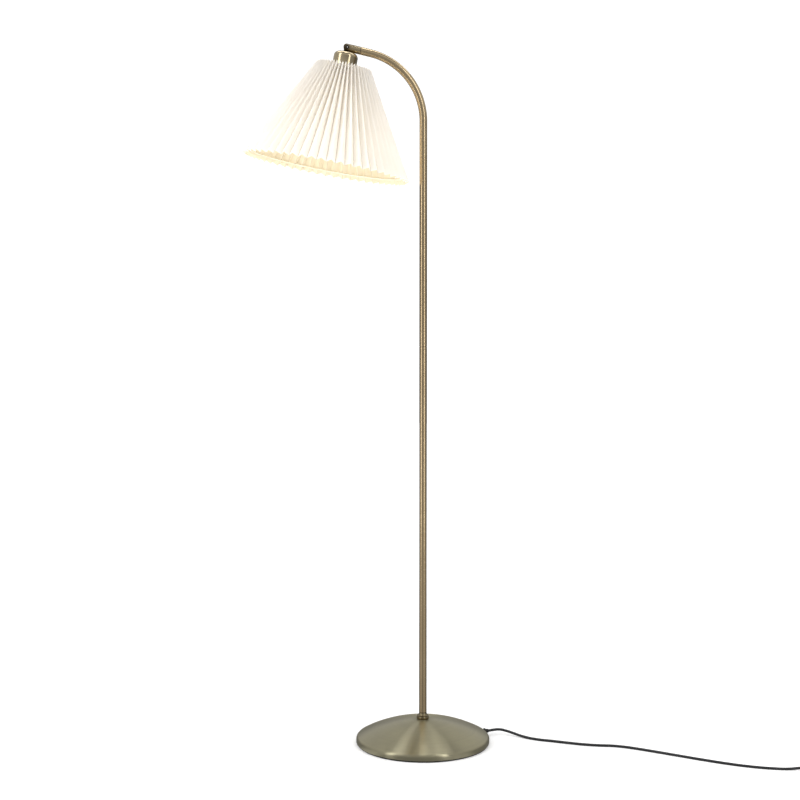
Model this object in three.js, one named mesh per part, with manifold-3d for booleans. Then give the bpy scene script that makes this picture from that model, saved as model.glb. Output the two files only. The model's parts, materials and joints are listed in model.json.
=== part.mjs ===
// Arc floor lamp: a round weighted base, a stem in screwed sections, an arc tube, and a pleated
// shade that tilts on a knuckle at the end of the arc.
// Millimetres, +Z up. The origin is on the floor, under the middle of the stem. The arc reaches
// toward -X, and the mains lead leaves the base on the +X side.
import * as THREE from 'three';
import { mergeVertices } from 'three/addons/utils/BufferGeometryUtils.js';
import Module from 'manifold-3d';

const wasm = await Module();
wasm.setup();

// ---------------------------------------------------------------- driving dimensions
const GAP = 0.3;                    // clearance left between pieces that touch

const baseRadius = 140;             // outside of the base cover
const baseHeight = 52;              // floor to the crown of the cover
const rimRadius = 8;                // rounding between the dome and the upright lip
const rimCentreHeight = 10.5262;    // floor to the centre of that rounding
const coverWall = 1.5;
const padInset = 3;                 // the pad stops this far inside the cover's edge
const padThickness = 3;
const weightInset = 14;             // room between the weight and the inside of the cover
const weightHeadroom = 3;
const bossRadius = 30;              // raised middle of the weight, which the stud passes through
const bossTop = 34;
const bossWeb = 7;                  // iron left above the nut's recess
const recessRadius = 20;

const studRadius = 5;               // M10 hollow stud and nipple
const studBore = 3.3;
const studEngagement = 22;          // how far the stud screws up into the stem's foot
const threadSlack = 0.3;            // female thread's radius over the male one's
const nutFlats = 17;
const nutHeight = 5;
const washerRadius = 15;
const washerThickness = 1.5;

const collarRadius = 13;
const collarHeight = 6;
const footRadius = 12;              // widest part of the stem's flared foot
const footLip = 1.2;
const footHeight = 7.5;
const footSpigot = 22;              // plain part of the foot, inside the lowest tube

const tubeRadius = 8;               // stem and arc
const tubeWall = 1.2;
const sectionLength = 388;          // one stem section, seam to seam
const sectionNames = ['lower', 'middle', 'upper'];
const couplerLength = 30;
const couplerWall = 2.2;

const arcStraight = 74.4;           // upright stretch of the arc tube below its bend
const arcRadius = 142;              // bend of the arc, at the tube's centreline
const arcBend = THREE.MathUtils.degToRad(76.5);
const armStraight = 48;             // end of the bend to the knuckle's pivot
const sleeveLength = 28;            // pivot to the seam with the arc tube
const slotHalfWidth = 3;
const slotDepth = 8.5;              // how far past the pivot the slot is cut
const nippleDepth = 14;
const endPlugLength = 14;

const tongueHalf = 1.7;             // half the knuckle tongue's thickness
const tongueRadius = 7.4;
const knuckleWasher = 0.7;
const pivotRadius = 2;              // knuckle screw
const pivotSlack = 0.3;
const screwHeadRadius = 3.5;
const screwHeadHeight = 1.6;
const knuckleNutFlats = 7;
const knuckleNutHeight = 2.2;

const headTilt = THREE.MathUtils.degToRad(10.5);
const cupRadius = 25;
const cupRound = 9.5;               // rounding of the cup's shoulder
const cupWall = 1.2;
const cupTop = 2;                   // distances along the head are measured down from the arm's underside
const cupBottom = 54;
const locknutFlats = 14;
const locknutHeight = 3;
const nippleEnd = 16;

const holderRadius = 19.5;          // E27 lampholder
const holderBore = 14.4;
const holderCapTop = 6.6;
const holderCapBottom = 19;
const holderBottom = 70;
const contactTop = 22;
const contactBottom = 36;
const contactRadius = 3.6;
const contactThickness = 1;
const wireHole = 2;                 // passage for the wires through the insulator
const screwShellRadius = 14.1;
const screwShellWall = 0.6;
const screwShellBottom = 60;
const shadeRingRadius = 29;
const shadeRingHeight = 3.5;
const fitterThickness = 1.5;
const fitterRadius = 32;

const bulbCapRadius = 13.1;
const bulbCapBottom = 65;
const bulbRadius = 30;
const bulbCentre = 116;
const bulbNeck = 12.5;
const bulbWall = 1;

const shadeTop = 29.5;
const shadeBottom = 238.3;
const shadeTopRadius = 56.5;
const shadeBottomRadius = 174;
const pleatDepthTop = 11;           // the folds are deeper where the shade is narrow
const pleatDepthBottom = 7;
const wireRadius = 1.5;
const wireInset = 6.5;              // each wire ring lies this far inside the end of the shade
const spiderArms = 3;

const cordRadius = 2.75;            // round black two-core mains lead
const cordSide = THREE.MathUtils.degToRad(20);
const glandHeight = 10.5;
const glandRise = THREE.MathUtils.degToRad(3.4);
const glandNeck = 4.9;
const glandFlange = 6.6;
const glandFlangeThickness = 1.6;
const glandBarb = 5.6;              // snap barb inside the cover
const glandGrip = 6;                // wall's outside to the barb, along the gland
const glandTail = 10;               // tapered strain relief outside the cover
const glandTip = 3.9;
const clampDistance = 70;           // cord clamp, from the base's centre
const clampLength = 26;
const clampWidth = 10;
const clampThickness = 1.2;
const clampScrewSpacing = 8.5;
const smallScrewRadius = 1.6;
const smallHeadRadius = 3;

const switchLength = 76;
const switchWidth = 36;
const switchCorner = 13;
const switchSplit = 7;
const switchHeight = 20;
const switchWall = 2;
const buttonRadius = 12;
const buttonProud = 4.5;
const buttonTravel = 3;
const buttonSlack = 0.4;
const switchCentre = [803, -186];

const coilCentre = [903, -221.5];
const coilMeanRadius = 30;          // middle of the coil's turns
const coilAcross = 3;               // turns side by side
const coilLayers = 2;

const plugRear = [868, -257];       // where the lead enters the plug's strain relief
const plugRelief = 22;
const plugBodyLength = 36;
const plugHalfHeight = 7;
const plugHalfWidth = 17.6;
const plugWaistHalfWidth = 9.5;
const plugRearHalfWidth = 7;
const plugTaper = 12;               // length of the body's narrow end, and of its shoulders
const plugReliefRadius = 5.6;
const pinRadius = 2;
const pinLength = 19;
const pinHalfSpacing = 9;
const pinRooted = 8;

// ---------------------------------------------------------------- finishes
function finish(color, roughness, metalness) {
  return new THREE.MeshStandardMaterial({ color, roughness, metalness });
}
const brass = finish(0xa39468, 0.35, 1);
const paleBrass = finish(0xc2b07c, 0.3, 1);
const iron = finish(0x3d3d3f, 0.8, 0.6);
const steel = finish(0x9b9c9e, 0.4, 1);
const blackPlastic = finish(0x17171a, 0.45, 0);
const blackRubber = finish(0x111112, 0.7, 0);
const whitePlastic = finish(0xe9e6df, 0.4, 0);
const pleatedFabric = finish(0xf3ecdf, 0.9, 0);
const whiteWire = finish(0xe8e4da, 0.5, 0.2);
const frostedGlass = finish(0xf7f4ec, 0.35, 0);

// ---------------------------------------------------------------- solids
function facingOut(geometry) {
  const place = geometry.attributes.position;
  const index = geometry.index;
  const corner = [new THREE.Vector3(), new THREE.Vector3(), new THREE.Vector3()];
  let volume = 0;
  for (let i = 0; i < index.count; i += 3) {
    corner.forEach((point, k) => point.fromBufferAttribute(place, index.getX(i + k)));
    volume += corner[0].dot(corner[1].clone().cross(corner[2]));
  }
  if (volume < 0) {
    for (let i = 0; i < index.count; i += 3) {
      const swap = index.getX(i + 1);
      index.setX(i + 1, index.getX(i + 2));
      index.setX(i + 2, swap);
    }
  }
  return geometry;
}

// Merges shared corners and drops the flat triangles left at a pole.
function closed(geometry) {
  const bare = geometry.clone();
  bare.deleteAttribute('normal');
  bare.deleteAttribute('uv');
  const merged = mergeVertices(bare, 1e-4);
  const kept = [];
  for (let i = 0; i < merged.index.count; i += 3) {
    const a = merged.index.getX(i);
    const b = merged.index.getX(i + 1);
    const c = merged.index.getX(i + 2);
    if (a !== b && b !== c && c !== a) kept.push(a, b, c);
  }
  merged.setIndex(kept);
  return facingOut(merged);
}

function toSolid(geometry) {
  const shape = closed(geometry);
  const vertProperties = new Float32Array(shape.attributes.position.array);
  const triVerts = new Uint32Array(shape.index.array);
  return new wasm.Manifold(new wasm.Mesh({ numProp: 3, vertProperties, triVerts }));
}

function toGeometry(solid) {
  const mesh = solid.getMesh();
  const geometry = new THREE.BufferGeometry();
  geometry.setAttribute('position', new THREE.BufferAttribute(new Float32Array(mesh.vertProperties), 3));
  geometry.setIndex(new THREE.BufferAttribute(new Uint32Array(mesh.triVerts), 1));
  return geometry;
}

function cut(geometry, ...tools) {
  return toGeometry(tools.reduce((solid, tool) => solid.subtract(toSolid(tool)), toSolid(geometry)));
}

function join(geometry, ...others) {
  return toGeometry(others.reduce((solid, other) => solid.add(toSolid(other)), toSolid(geometry)));
}

function common(geometry, other) {
  return toGeometry(toSolid(geometry).intersect(toSolid(other)));
}

// A solid turned round Z from a profile of [radius, z] points.
function turned(profile, sides) {
  const points = profile.map(([radius, z]) => new THREE.Vector2(radius, z));
  return closed(new THREE.LatheGeometry(points, sides).rotateX(Math.PI / 2));
}

function ring(inner, outer, low, high, sides) {
  return turned([[inner, low], [outer, low], [outer, high], [inner, high], [inner, low]], sides);
}

function rod(radius, low, high, sides) {
  return new THREE.CylinderGeometry(radius, radius, high - low, sides)
    .rotateX(Math.PI / 2).translate(0, 0, (low + high) / 2);
}

function rodAlongX(radius, from, to, sides) {
  return rod(radius, from, to, sides).rotateY(Math.PI / 2);
}

function rodAlongY(radius, from, to, sides) {
  return rod(radius, from, to, sides).rotateX(-Math.PI / 2);
}

function block(low, high) {
  const size = high.map((value, k) => value - low[k]);
  const middle = high.map((value, k) => (value + low[k]) / 2);
  return new THREE.BoxGeometry(...size).translate(...middle);
}

function hexagon(flats, low, high) {
  return rod(flats / Math.sqrt(3), low, high, 6);
}

// Points of a round corner in a profile, from one angle to another about a centre.
function roundCorner([radius, z], size, fromDegrees, toDegrees, steps) {
  return Array.from({ length: steps + 1 }, (unused, k) => {
    const angle = THREE.MathUtils.degToRad(fromDegrees + (toDegrees - fromDegrees) * k / steps);
    return [radius + size * Math.cos(angle), z + size * Math.sin(angle)];
  });
}

function circleShape(radius, sides) {
  return new THREE.Shape(Array.from({ length: sides }, (unused, k) => {
    const angle = 2 * Math.PI * k / sides;
    return new THREE.Vector2(radius * Math.cos(angle), radius * Math.sin(angle));
  }));
}

// A round bar, or a tube where a bore is given, along a curve.
function alongCurve(curve, radius, sides, steps, bore = 0) {
  const section = circleShape(radius, sides);
  if (bore > 0) section.holes.push(circleShape(bore, sides));
  return closed(new THREE.ExtrudeGeometry(section, { extrudePath: curve, steps, curveSegments: 1 }));
}

function smoothCurve(points) {
  return new THREE.CatmullRomCurve3(points.map((point) => new THREE.Vector3(...point)));
}

const lamp = new THREE.Group();

function add(parent, name, geometry, material) {
  const mesh = new THREE.Mesh(geometry, material);
  mesh.name = name;
  parent.add(mesh);
}

function placed(parent, position, axis = 'z', angle = 0) {
  const group = new THREE.Group();
  group.position.set(...position);
  group.rotation[axis] = angle;
  parent.add(group);
  return group;
}

// ---------------------------------------------------------------- base
const lipBottom = padThickness + GAP;
const weightRadius = baseRadius - coverWall - weightInset;
const rimCentreRadius = baseRadius - rimRadius;
const crownRise = baseHeight - rimCentreHeight;
const domeRadius = (rimCentreRadius ** 2 + crownRise ** 2 - rimRadius ** 2) / (2 * (crownRise - rimRadius));
const domeCentre = baseHeight - domeRadius;
const rimAngle = Math.asin(rimCentreRadius / (domeRadius - rimRadius));

// Height of the cover at a radius, on its outside or a wall's thickness inside it.
function coverHeight(radius, inset) {
  return domeCentre + Math.sqrt((domeRadius - inset) ** 2 - radius ** 2);
}

// The cover's outline from the bottom of its lip to the stud's hole.
function coverOutline(inset, holeRadius) {
  const lip = [[baseRadius - inset, lipBottom]];
  const rimEnd = 90 - THREE.MathUtils.radToDeg(rimAngle);
  const rim = roundCorner([rimCentreRadius, rimCentreHeight], rimRadius - inset, 0, rimEnd, 3);
  const domeSteps = 6;
  const tangentRadius = (domeRadius - inset) * Math.sin(rimAngle);
  const dome = Array.from({ length: domeSteps }, (unused, k) => {
    const radius = tangentRadius + (holeRadius - tangentRadius) * (k + 1) / domeSteps;
    return [radius, coverHeight(radius, inset)];
  });
  return [...lip, ...rim, ...dome];
}

function glandTool(radius, from, to, sides) {
  return rodAlongX(radius, from, to, sides).rotateY(-glandRise)
    .translate(baseRadius, 0, glandHeight).rotateZ(cordSide);
}

function baseCover() {
  const hole = studRadius + threadSlack;
  const outside = coverOutline(0, hole);
  const inside = coverOutline(coverWall, hole).reverse();
  const shell = turned([...outside, ...inside, outside[0]], 40);
  return cut(shell, glandTool(glandNeck + GAP, -8, 8, 16));
}

const cordInBase = glandHeight - (baseRadius - weightRadius) * Math.tan(glandRise);
const grooveHalfWidth = cordRadius + 0.5;
const clampTop = cordInBase - cordRadius - GAP;
const clampRecessTop = clampTop + GAP;

function baseWeight() {
  const top = coverHeight(weightRadius, coverWall) - weightHeadroom;
  const hole = studRadius + threadSlack;
  const body = turned([
    [recessRadius, lipBottom],
    [weightRadius, lipBottom],
    [weightRadius, top],
    [bossRadius, top],
    [bossRadius, bossTop],
    [hole, bossTop],
    [hole, bossTop - bossWeb],
    [recessRadius, bossTop - bossWeb],
    [recessRadius, lipBottom],
  ], 40);
  const low = lipBottom - 1;
  const groove = block([recessRadius - 4, -grooveHalfWidth, low],
    [weightRadius + 2, grooveHalfWidth, cordInBase + cordRadius + 1.5]);
  const clampSeat = block([clampDistance - clampWidth / 2 - 1, -clampLength / 2 - 1, low],
    [clampDistance + clampWidth / 2 + 1, clampLength / 2 + 1, clampRecessTop]);
  const screwHoles = [-1, 1].map((side) => rod(smallScrewRadius + GAP, low, 13, 10)
    .translate(clampDistance, side * clampScrewSpacing, 0));
  const tools = [groove, clampSeat, ...screwHoles].map((tool) => tool.rotateZ(cordSide));
  return cut(body, ...tools);
}

function cordClamp() {
  const bottom = clampTop - clampThickness;
  const bar = block([clampDistance - clampWidth / 2, -clampLength / 2, bottom],
    [clampDistance + clampWidth / 2, clampLength / 2, clampTop]);
  const holes = [-1, 1].map((side) => rod(smallScrewRadius + GAP, bottom - 1, clampTop + 1, 10)
    .translate(clampDistance, side * clampScrewSpacing, 0));
  return cut(bar, ...holes).rotateZ(cordSide);
}

function clampScrew(side) {
  const under = clampTop - clampThickness - GAP;
  return turned([[0, lipBottom + 0.1], [smallHeadRadius, lipBottom + 0.1], [smallHeadRadius, under],
    [smallScrewRadius, under], [smallScrewRadius, 12.5], [0, 12.5]], 12)
    .translate(clampDistance, side * clampScrewSpacing, 0).rotateZ(cordSide);
}

const collarBottom = baseHeight + GAP;
const stemBottom = collarBottom + collarHeight + GAP;
const washerTop = bossTop - bossWeb - GAP;
const nutTop = washerTop - washerThickness - GAP;
const studBottom = nutTop - nutHeight + GAP;
const studTop = stemBottom + studEngagement;
const femaleThread = studRadius + threadSlack;
const spacerRadius = collarRadius - 1;

function boredHexagon(flats, low, high, bore) {
  return cut(hexagon(flats, low, high), rod(bore, low - 1, high + 1, 20));
}

function roundedRing(inner, outer, low, high, edge, sides) {
  return turned([
    [inner, low],
    ...roundCorner([outer - edge, low + edge], edge, -90, 0, 2),
    ...roundCorner([outer - edge, high - edge], edge, 0, 90, 2),
    [inner, high],
    [inner, low],
  ], sides);
}

add(lamp, 'base_pad', rod(baseRadius - padInset, 0, padThickness, 48), blackRubber);
add(lamp, 'base_weight', baseWeight(), iron);
add(lamp, 'base_cover', baseCover(), brass);
add(lamp, 'base_spacer', ring(femaleThread, spacerRadius, bossTop + GAP,
  coverHeight(spacerRadius, coverWall) - GAP, 24), steel);
add(lamp, 'base_stud', ring(studBore, studRadius, studBottom, studTop, 24), steel);
add(lamp, 'base_washer', ring(femaleThread, washerRadius,
  washerTop - washerThickness, washerTop, 24), steel);
add(lamp, 'base_nut', boredHexagon(nutFlats, nutTop - nutHeight, nutTop, femaleThread), steel);
add(lamp, 'cord_clamp', cordClamp(), steel);
add(lamp, 'clamp_screw_left', clampScrew(1), steel);
add(lamp, 'clamp_screw_right', clampScrew(-1), steel);

// Rubber gland in the cover's lip: a flange outside, a snap barb inside and a tapered strain relief.
function cordGland() {
  const bore = cordRadius + GAP;
  const outerFace = glandFlange * Math.sin(glandRise) + GAP;
  const outerEnd = outerFace + glandFlangeThickness;
  const innerEnd = -glandGrip - glandFlangeThickness;
  return turned([
    [bore, innerEnd],
    [glandNeck, innerEnd],
    [glandBarb, -glandGrip],
    [glandNeck, -glandGrip],
    [glandNeck, outerFace],
    [glandFlange, outerFace],
    [glandFlange, outerEnd],
    [glandNeck, outerEnd + 0.6],
    [glandTip, glandTail],
    [bore, glandTail],
    [bore, innerEnd],
  ], 16).rotateY(Math.PI / 2 - glandRise).translate(baseRadius, 0, glandHeight).rotateZ(cordSide);
}
add(lamp, 'cord_gland', cordGland(), blackRubber);

// ---------------------------------------------------------------- stem
const tubeBore = tubeRadius - tubeWall;
const couplerRadius = tubeBore - GAP;
const stemTop = stemBottom + sectionNames.length * sectionLength;

function stemFoot() {
  const flareSteps = 4;
  const flare = Array.from({ length: flareSteps + 1 }, (unused, k) => {
    const angle = Math.PI / 2 * k / flareSteps;
    const radius = footRadius - (footRadius - tubeRadius) * Math.sin(angle);
    return [radius, stemBottom + footHeight - (footHeight - footLip) * Math.cos(angle)];
  });
  return turned([
    [femaleThread, stemBottom],
    [footRadius, stemBottom],
    ...flare,
    [couplerRadius, stemBottom + footHeight],
    [couplerRadius, stemBottom + footHeight + footSpigot],
    [femaleThread, stemBottom + footHeight + footSpigot],
    [femaleThread, stemBottom],
  ], 20);
}

add(lamp, 'stem_collar', roundedRing(femaleThread, collarRadius, collarBottom,
  collarBottom + collarHeight, 1.5, 24), brass);
add(lamp, 'stem_foot', stemFoot(), brass);
sectionNames.forEach((name, level) => {
  const low = level === 0 ? stemBottom + footHeight + GAP : stemBottom + level * sectionLength;
  const high = stemBottom + (level + 1) * sectionLength;
  add(lamp, `stem_${name}`, ring(tubeBore, tubeRadius, low, high - GAP, 20), brass);
  add(lamp, `stem_coupler_${name}`, ring(couplerRadius - couplerWall, couplerRadius,
    high - couplerLength / 2, high + couplerLength / 2, 16), steel);
});

// ---------------------------------------------------------------- arc
const arcStart = stemTop + arcStraight;
const armRise = Math.PI / 2 - arcBend;
const armDirection = new THREE.Vector3(-Math.cos(armRise), 0, Math.sin(armRise));
const bendEnd = new THREE.Vector3(
  -arcRadius * (1 - Math.cos(arcBend)), 0, arcStart + arcRadius * Math.sin(arcBend));
const pivot = bendEnd.clone().addScaledVector(armDirection, armStraight);

class QuarterBend extends THREE.Curve {
  getPoint(share, target = new THREE.Vector3()) {
    const angle = arcBend * share;
    return target.set(-arcRadius * (1 - Math.cos(angle)), 0, arcStart + arcRadius * Math.sin(angle));
  }
}

// The arc's centreline, from a height on its upright stretch to a distance short of the pivot.
function arcPath(low, shortOfPivot) {
  const path = new THREE.CurvePath();
  path.add(new THREE.LineCurve3(new THREE.Vector3(0, 0, low), new THREE.Vector3(0, 0, arcStart)));
  path.add(new QuarterBend());
  path.add(new THREE.LineCurve3(bendEnd, pivot.clone().addScaledVector(armDirection, -shortOfPivot)));
  return path;
}

const arcTube = alongCurve(arcPath(stemTop, sleeveLength + GAP), tubeRadius, 16, 20, tubeBore);
add(lamp, 'arc_tube', arcTube, brass);

// The arm's own frame: x runs from the pivot back along the arm.
const arm = placed(lamp, pivot.toArray(), 'y', armRise);

// Flat plate with an outline in x and z, `half` thick on each side of y = 0.
function plateAlongY(outline, half, curveSegments) {
  return new THREE.ExtrudeGeometry(outline, { depth: 2 * half, bevelEnabled: false, curveSegments })
    .rotateX(Math.PI / 2).translate(0, half, 0);
}

function knuckleSleeve() {
  const outline = new THREE.Shape();
  outline.moveTo(0, -tubeRadius);
  outline.lineTo(sleeveLength, -tubeRadius);
  outline.lineTo(sleeveLength, tubeRadius);
  outline.lineTo(0, tubeRadius);
  outline.absarc(0, 0, tubeRadius, Math.PI / 2, 3 * Math.PI / 2, false);
  const slab = plateAlongY(outline, tubeRadius + 1, 8);
  const round = rodAlongX(tubeRadius, -tubeRadius - 1, sleeveLength, 20);
  const beyond = tubeRadius + 2;
  const slot = block([-beyond, -slotHalfWidth, -beyond], [slotDepth, slotHalfWidth, beyond]);
  return cut(common(round, slab),
    slot,
    rodAlongX(studBore, slotDepth - 1, nippleDepth + 1, 16),
    rodAlongX(femaleThread, nippleDepth, sleeveLength + 1, 20),
    rodAlongY(pivotRadius + pivotSlack, -beyond, beyond, 16),
    rodAlongY(screwHeadRadius + GAP, -beyond, -tubeRadius + screwHeadHeight, 20),
    hexagon(knuckleNutFlats + 2 * GAP, tubeRadius - knuckleNutHeight, beyond).rotateX(-Math.PI / 2));
}

function knuckleScrew() {
  const headSeat = -tubeRadius + screwHeadHeight - GAP;
  const headTop = headSeat - screwHeadHeight + GAP;
  const beyondHead = screwHeadRadius + 1;
  const body = join(rodAlongY(screwHeadRadius, headTop, headSeat, 20),
    rodAlongY(pivotRadius, headSeat - 0.5, tubeRadius - 0.6, 16));
  return cut(body, block([-beyondHead, headTop - 1, -0.5], [beyondHead, headTop + 0.8, 0.5]));
}

function alongY(geometry) {
  return geometry.rotateX(-Math.PI / 2);
}

add(arm, 'knuckle_sleeve', knuckleSleeve(), brass);
add(arm, 'knuckle_screw', knuckleScrew(), steel);
add(arm, 'knuckle_nut', alongY(boredHexagon(knuckleNutFlats, tubeRadius - knuckleNutHeight + GAP,
  tubeRadius - 0.2, pivotRadius + pivotSlack)), steel);
[['front', -1], ['back', 1]].forEach(([name, side]) => {
  const near = side * (tongueHalf + GAP);
  const far = side * (tongueHalf + GAP + knuckleWasher);
  const washer = ring(pivotRadius + pivotSlack, tongueRadius - 1.4,
    Math.min(near, far), Math.max(near, far), 12);
  add(arm, `knuckle_washer_${name}`, alongY(washer), whitePlastic);
});
add(arm, 'arm_nipple', ring(studBore, studRadius, nippleDepth + GAP,
  sleeveLength + endPlugLength, 20).rotateY(Math.PI / 2), steel);
add(arm, 'arm_end_plug', ring(femaleThread, couplerRadius, sleeveLength + 2 * GAP,
  sleeveLength + endPlugLength, 20).rotateY(Math.PI / 2), steel);

// ---------------------------------------------------------------- tilting head
// The head turns about the pivot. Its own frame hangs from it by the arm tube's radius, so that the
// cup always clears the arm, and `down` is a distance below that frame's origin along the head.
const tilted = placed(lamp, pivot.toArray(), 'y', headTilt);
const head = placed(tilted, [0, 0, -tubeRadius]);

function hung(profile, sides) {
  return turned(profile.map(([radius, down]) => [radius, -down]), sides);
}

function hungRing(inner, outer, top, bottom, sides) {
  return ring(inner, outer, -bottom, -top, sides);
}

function knuckleTongue() {
  const neckHalf = tongueRadius - 0.9;
  const shoulder = tubeRadius + cupTop - 0.8;
  const end = tubeRadius + nippleEnd;
  const outline = new THREE.Shape();
  outline.absarc(0, 0, tongueRadius, 0, Math.PI, false);
  outline.lineTo(-neckHalf, -shoulder);
  outline.lineTo(neckHalf, -shoulder);
  const plate = plateAlongY(outline, tongueHalf, 16);
  const nipple = rod(studRadius - GAP, -end, -shoulder + 1, 20);
  return cut(join(plate, nipple),
    rodAlongY(pivotRadius + pivotSlack, -tongueRadius, tongueRadius, 16),
    rod(studBore - 0.5, -end - 1, -tubeRadius - cupTop, 12));
}

function cup() {
  const outside = [
    ...roundCorner([cupRadius - cupRound, cupTop + cupRound], cupRound, -90, 0, 4),
    [cupRadius, cupBottom],
  ];
  const inside = [
    [cupRadius - cupWall, cupBottom],
    ...roundCorner([cupRadius - cupRound, cupTop + cupRound], cupRound - cupWall, 0, -90, 4),
  ];
  return hung([[femaleThread, cupTop], ...outside, ...inside, [femaleThread, cupTop + cupWall],
    [femaleThread, cupTop]], 28);
}

add(tilted, 'knuckle_tongue', knuckleTongue(), paleBrass);
add(head, 'cup', cup(), brass);
const locknutTop = cupTop + cupWall + GAP;
add(head, 'cup_locknut', boredHexagon(locknutFlats,
  -locknutTop - locknutHeight, -locknutTop, femaleThread), steel);

// ---------------------------------------------------------------- lampholder
function holderCap() {
  const wall = 2.5;
  const shoulder = 9;
  const slope = 7;
  return hung([
    [femaleThread, holderCapTop],
    [shoulder, holderCapTop],
    [holderRadius, holderCapTop + slope],
    [holderRadius, holderCapBottom],
    [holderRadius - wall, holderCapBottom],
    [holderRadius - wall, holderCapTop + slope + 1],
    [shoulder, holderCapTop + wall],
    [femaleThread, holderCapTop + wall],
    [femaleThread, holderCapTop],
  ], 20);
}

const firstRingTop = cupBottom + GAP;
const fitterTop = firstRingTop + shadeRingHeight + GAP;
const secondRingTop = fitterTop + fitterThickness + GAP;
const ringBore = holderRadius + GAP;

function shadeRing(top) {
  return hungRing(ringBore, shadeRingRadius, top, top + shadeRingHeight, 24);
}

add(head, 'lampholder_cap', holderCap(), whitePlastic);
add(head, 'lampholder_body', hungRing(holderBore, holderRadius,
  holderCapBottom + GAP, holderBottom, 24), whitePlastic);
add(head, 'lampholder_insulator', hungRing(wireHole, holderBore - GAP,
  contactTop, contactBottom, 16), whitePlastic);
add(head, 'lampholder_contact', rod(contactRadius,
  -contactBottom - GAP - contactThickness, -contactBottom - GAP, 12), paleBrass);
add(head, 'lampholder_shell', hungRing(screwShellRadius - screwShellWall, screwShellRadius,
  contactBottom + GAP, screwShellBottom, 20), paleBrass);
add(head, 'shade_ring_upper', shadeRing(firstRingTop), whitePlastic);
add(head, 'shade_ring_lower', shadeRing(secondRingTop), whitePlastic);

// ---------------------------------------------------------------- bulb
const bulbTip = contactBottom + contactThickness + 2 * GAP + 0.1;

function bulbGlass() {
  const neckTop = bulbCapBottom + GAP;
  const ballEnd = -38;                // degrees round the ball, where the neck begins
  function wall(inset) {
    const ball = roundCorner([0, bulbCentre], bulbRadius - inset, 90, ballEnd, 7).slice(1);
    const last = ball[ball.length - 1];
    const neck = bulbNeck - inset;
    const reach = last[1] - neckTop;
    const flare = [[neck + 4.2, neckTop + reach * 0.6], [neck + 0.8, neckTop + reach * 0.25]];
    return [[0, bulbCentre + bulbRadius - inset], ...ball, ...flare, [neck, neckTop]];
  }
  return hung([...wall(0), ...wall(bulbWall).reverse()], 20);
}

add(head, 'bulb_cap', hung([
  [0, bulbTip],
  [4, bulbTip],
  [bulbCapRadius - 2, bulbTip + 4],
  [bulbCapRadius, bulbTip + 5.5],
  [bulbCapRadius, bulbCapBottom - 2],
  [bulbNeck, bulbCapBottom],
  [0, bulbCapBottom],
], 20), steel);
add(head, 'bulb_glass', bulbGlass(), frostedGlass);

// ---------------------------------------------------------------- shade
function along(down, top, bottom) {
  return top + (bottom - top) * (down - shadeTop) / (shadeBottom - shadeTop);
}

function shadeOutside(down) {
  return along(down, shadeTopRadius, shadeBottomRadius);
}

function shadeInside(down) {
  return shadeOutside(down) - along(down, pleatDepthTop, pleatDepthBottom);
}

// Radius of a wire ring that clears the cone's inside at its narrowest point.
function wireRingRadius(down) {
  return shadeInside(down - wireRadius) - wireRadius - GAP;
}

function wireHoop(down, sides) {
  const section = roundCorner([wireRingRadius(down), down], wireRadius, 0, 360, 6);
  section[section.length - 1] = section[0];
  return hung(section, sides);
}

function shadeSpider() {
  const plateMiddle = fitterTop + fitterThickness / 2;
  const hoop = wireHoop(shadeTop + wireInset, 32);
  const hoopRadius = wireRingRadius(shadeTop + wireInset);
  const plate = hungRing(ringBore, fitterRadius, fitterTop, fitterTop + fitterThickness, 24);
  const armStart = shadeRingRadius + 2.5;
  const route = [
    [armStart, 0, -plateMiddle],
    [armStart + 0.6 * (hoopRadius - armStart), 0, -plateMiddle + 2],
    [hoopRadius - 1, 0, -plateMiddle + 10],
    [hoopRadius, 0, -shadeTop - wireInset],
  ];
  const arms = Array.from({ length: spiderArms }, (unused, k) =>
    alongCurve(smoothCurve(route), wireRadius - 0.1, 6, 6).rotateZ(2 * Math.PI * (k + 0.25) / spiderArms));
  return join(plate, hoop, ...arms);
}

add(head, 'shade_spider', shadeSpider(), whiteWire);
add(head, 'shade_bottom_ring', wireHoop(shadeBottom - wireInset, 48), whiteWire);
add(head, 'shade', hung([
  [shadeInside(shadeTop), shadeTop],
  [shadeOutside(shadeTop), shadeTop],
  [shadeOutside(shadeBottom), shadeBottom],
  [shadeInside(shadeBottom), shadeBottom],
  [shadeInside(shadeTop), shadeTop],
], 56), pleatedFabric);

// ---------------------------------------------------------------- lead inside the lamp
const leadOut = placed(lamp, [0, 0, 0], 'z', cordSide);
const bendRadius = 11;
const leadSplit = bossTop;

function glandPoint(distance) {
  return [baseRadius + distance * Math.cos(glandRise), 0, glandHeight + distance * Math.sin(glandRise)];
}

function leadInBase() {
  const turn = [0, 1, 2, 3, 4].map((k) => {
    const angle = Math.PI / 2 * k / 4;
    return [bendRadius * (1 - Math.cos(angle)), 0, cordInBase + bendRadius * (1 - Math.sin(angle))];
  });
  return smoothCurve([
    [0, 0, leadSplit],
    [0, 0, (leadSplit + cordInBase + bendRadius) / 2],
    ...turn,
    [clampDistance / 2, 0, cordInBase],
    [clampDistance, 0, cordInBase],
    [weightRadius - 6, 0, cordInBase + 0.2],
    glandPoint(-4),
    glandPoint(glandTail - GAP),
  ]);
}

add(leadOut, 'lead_in_base', alongCurve(leadInBase(), cordRadius, 8, 30), blackPlastic);
add(lamp, 'lead_in_stem', rod(cordRadius, leadSplit + GAP, arcStart - GAP, 8), blackPlastic);
add(lamp, 'lead_in_arc', alongCurve(arcPath(arcStart - 0.01, nippleDepth), cordRadius, 8, 18), blackPlastic);

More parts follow.
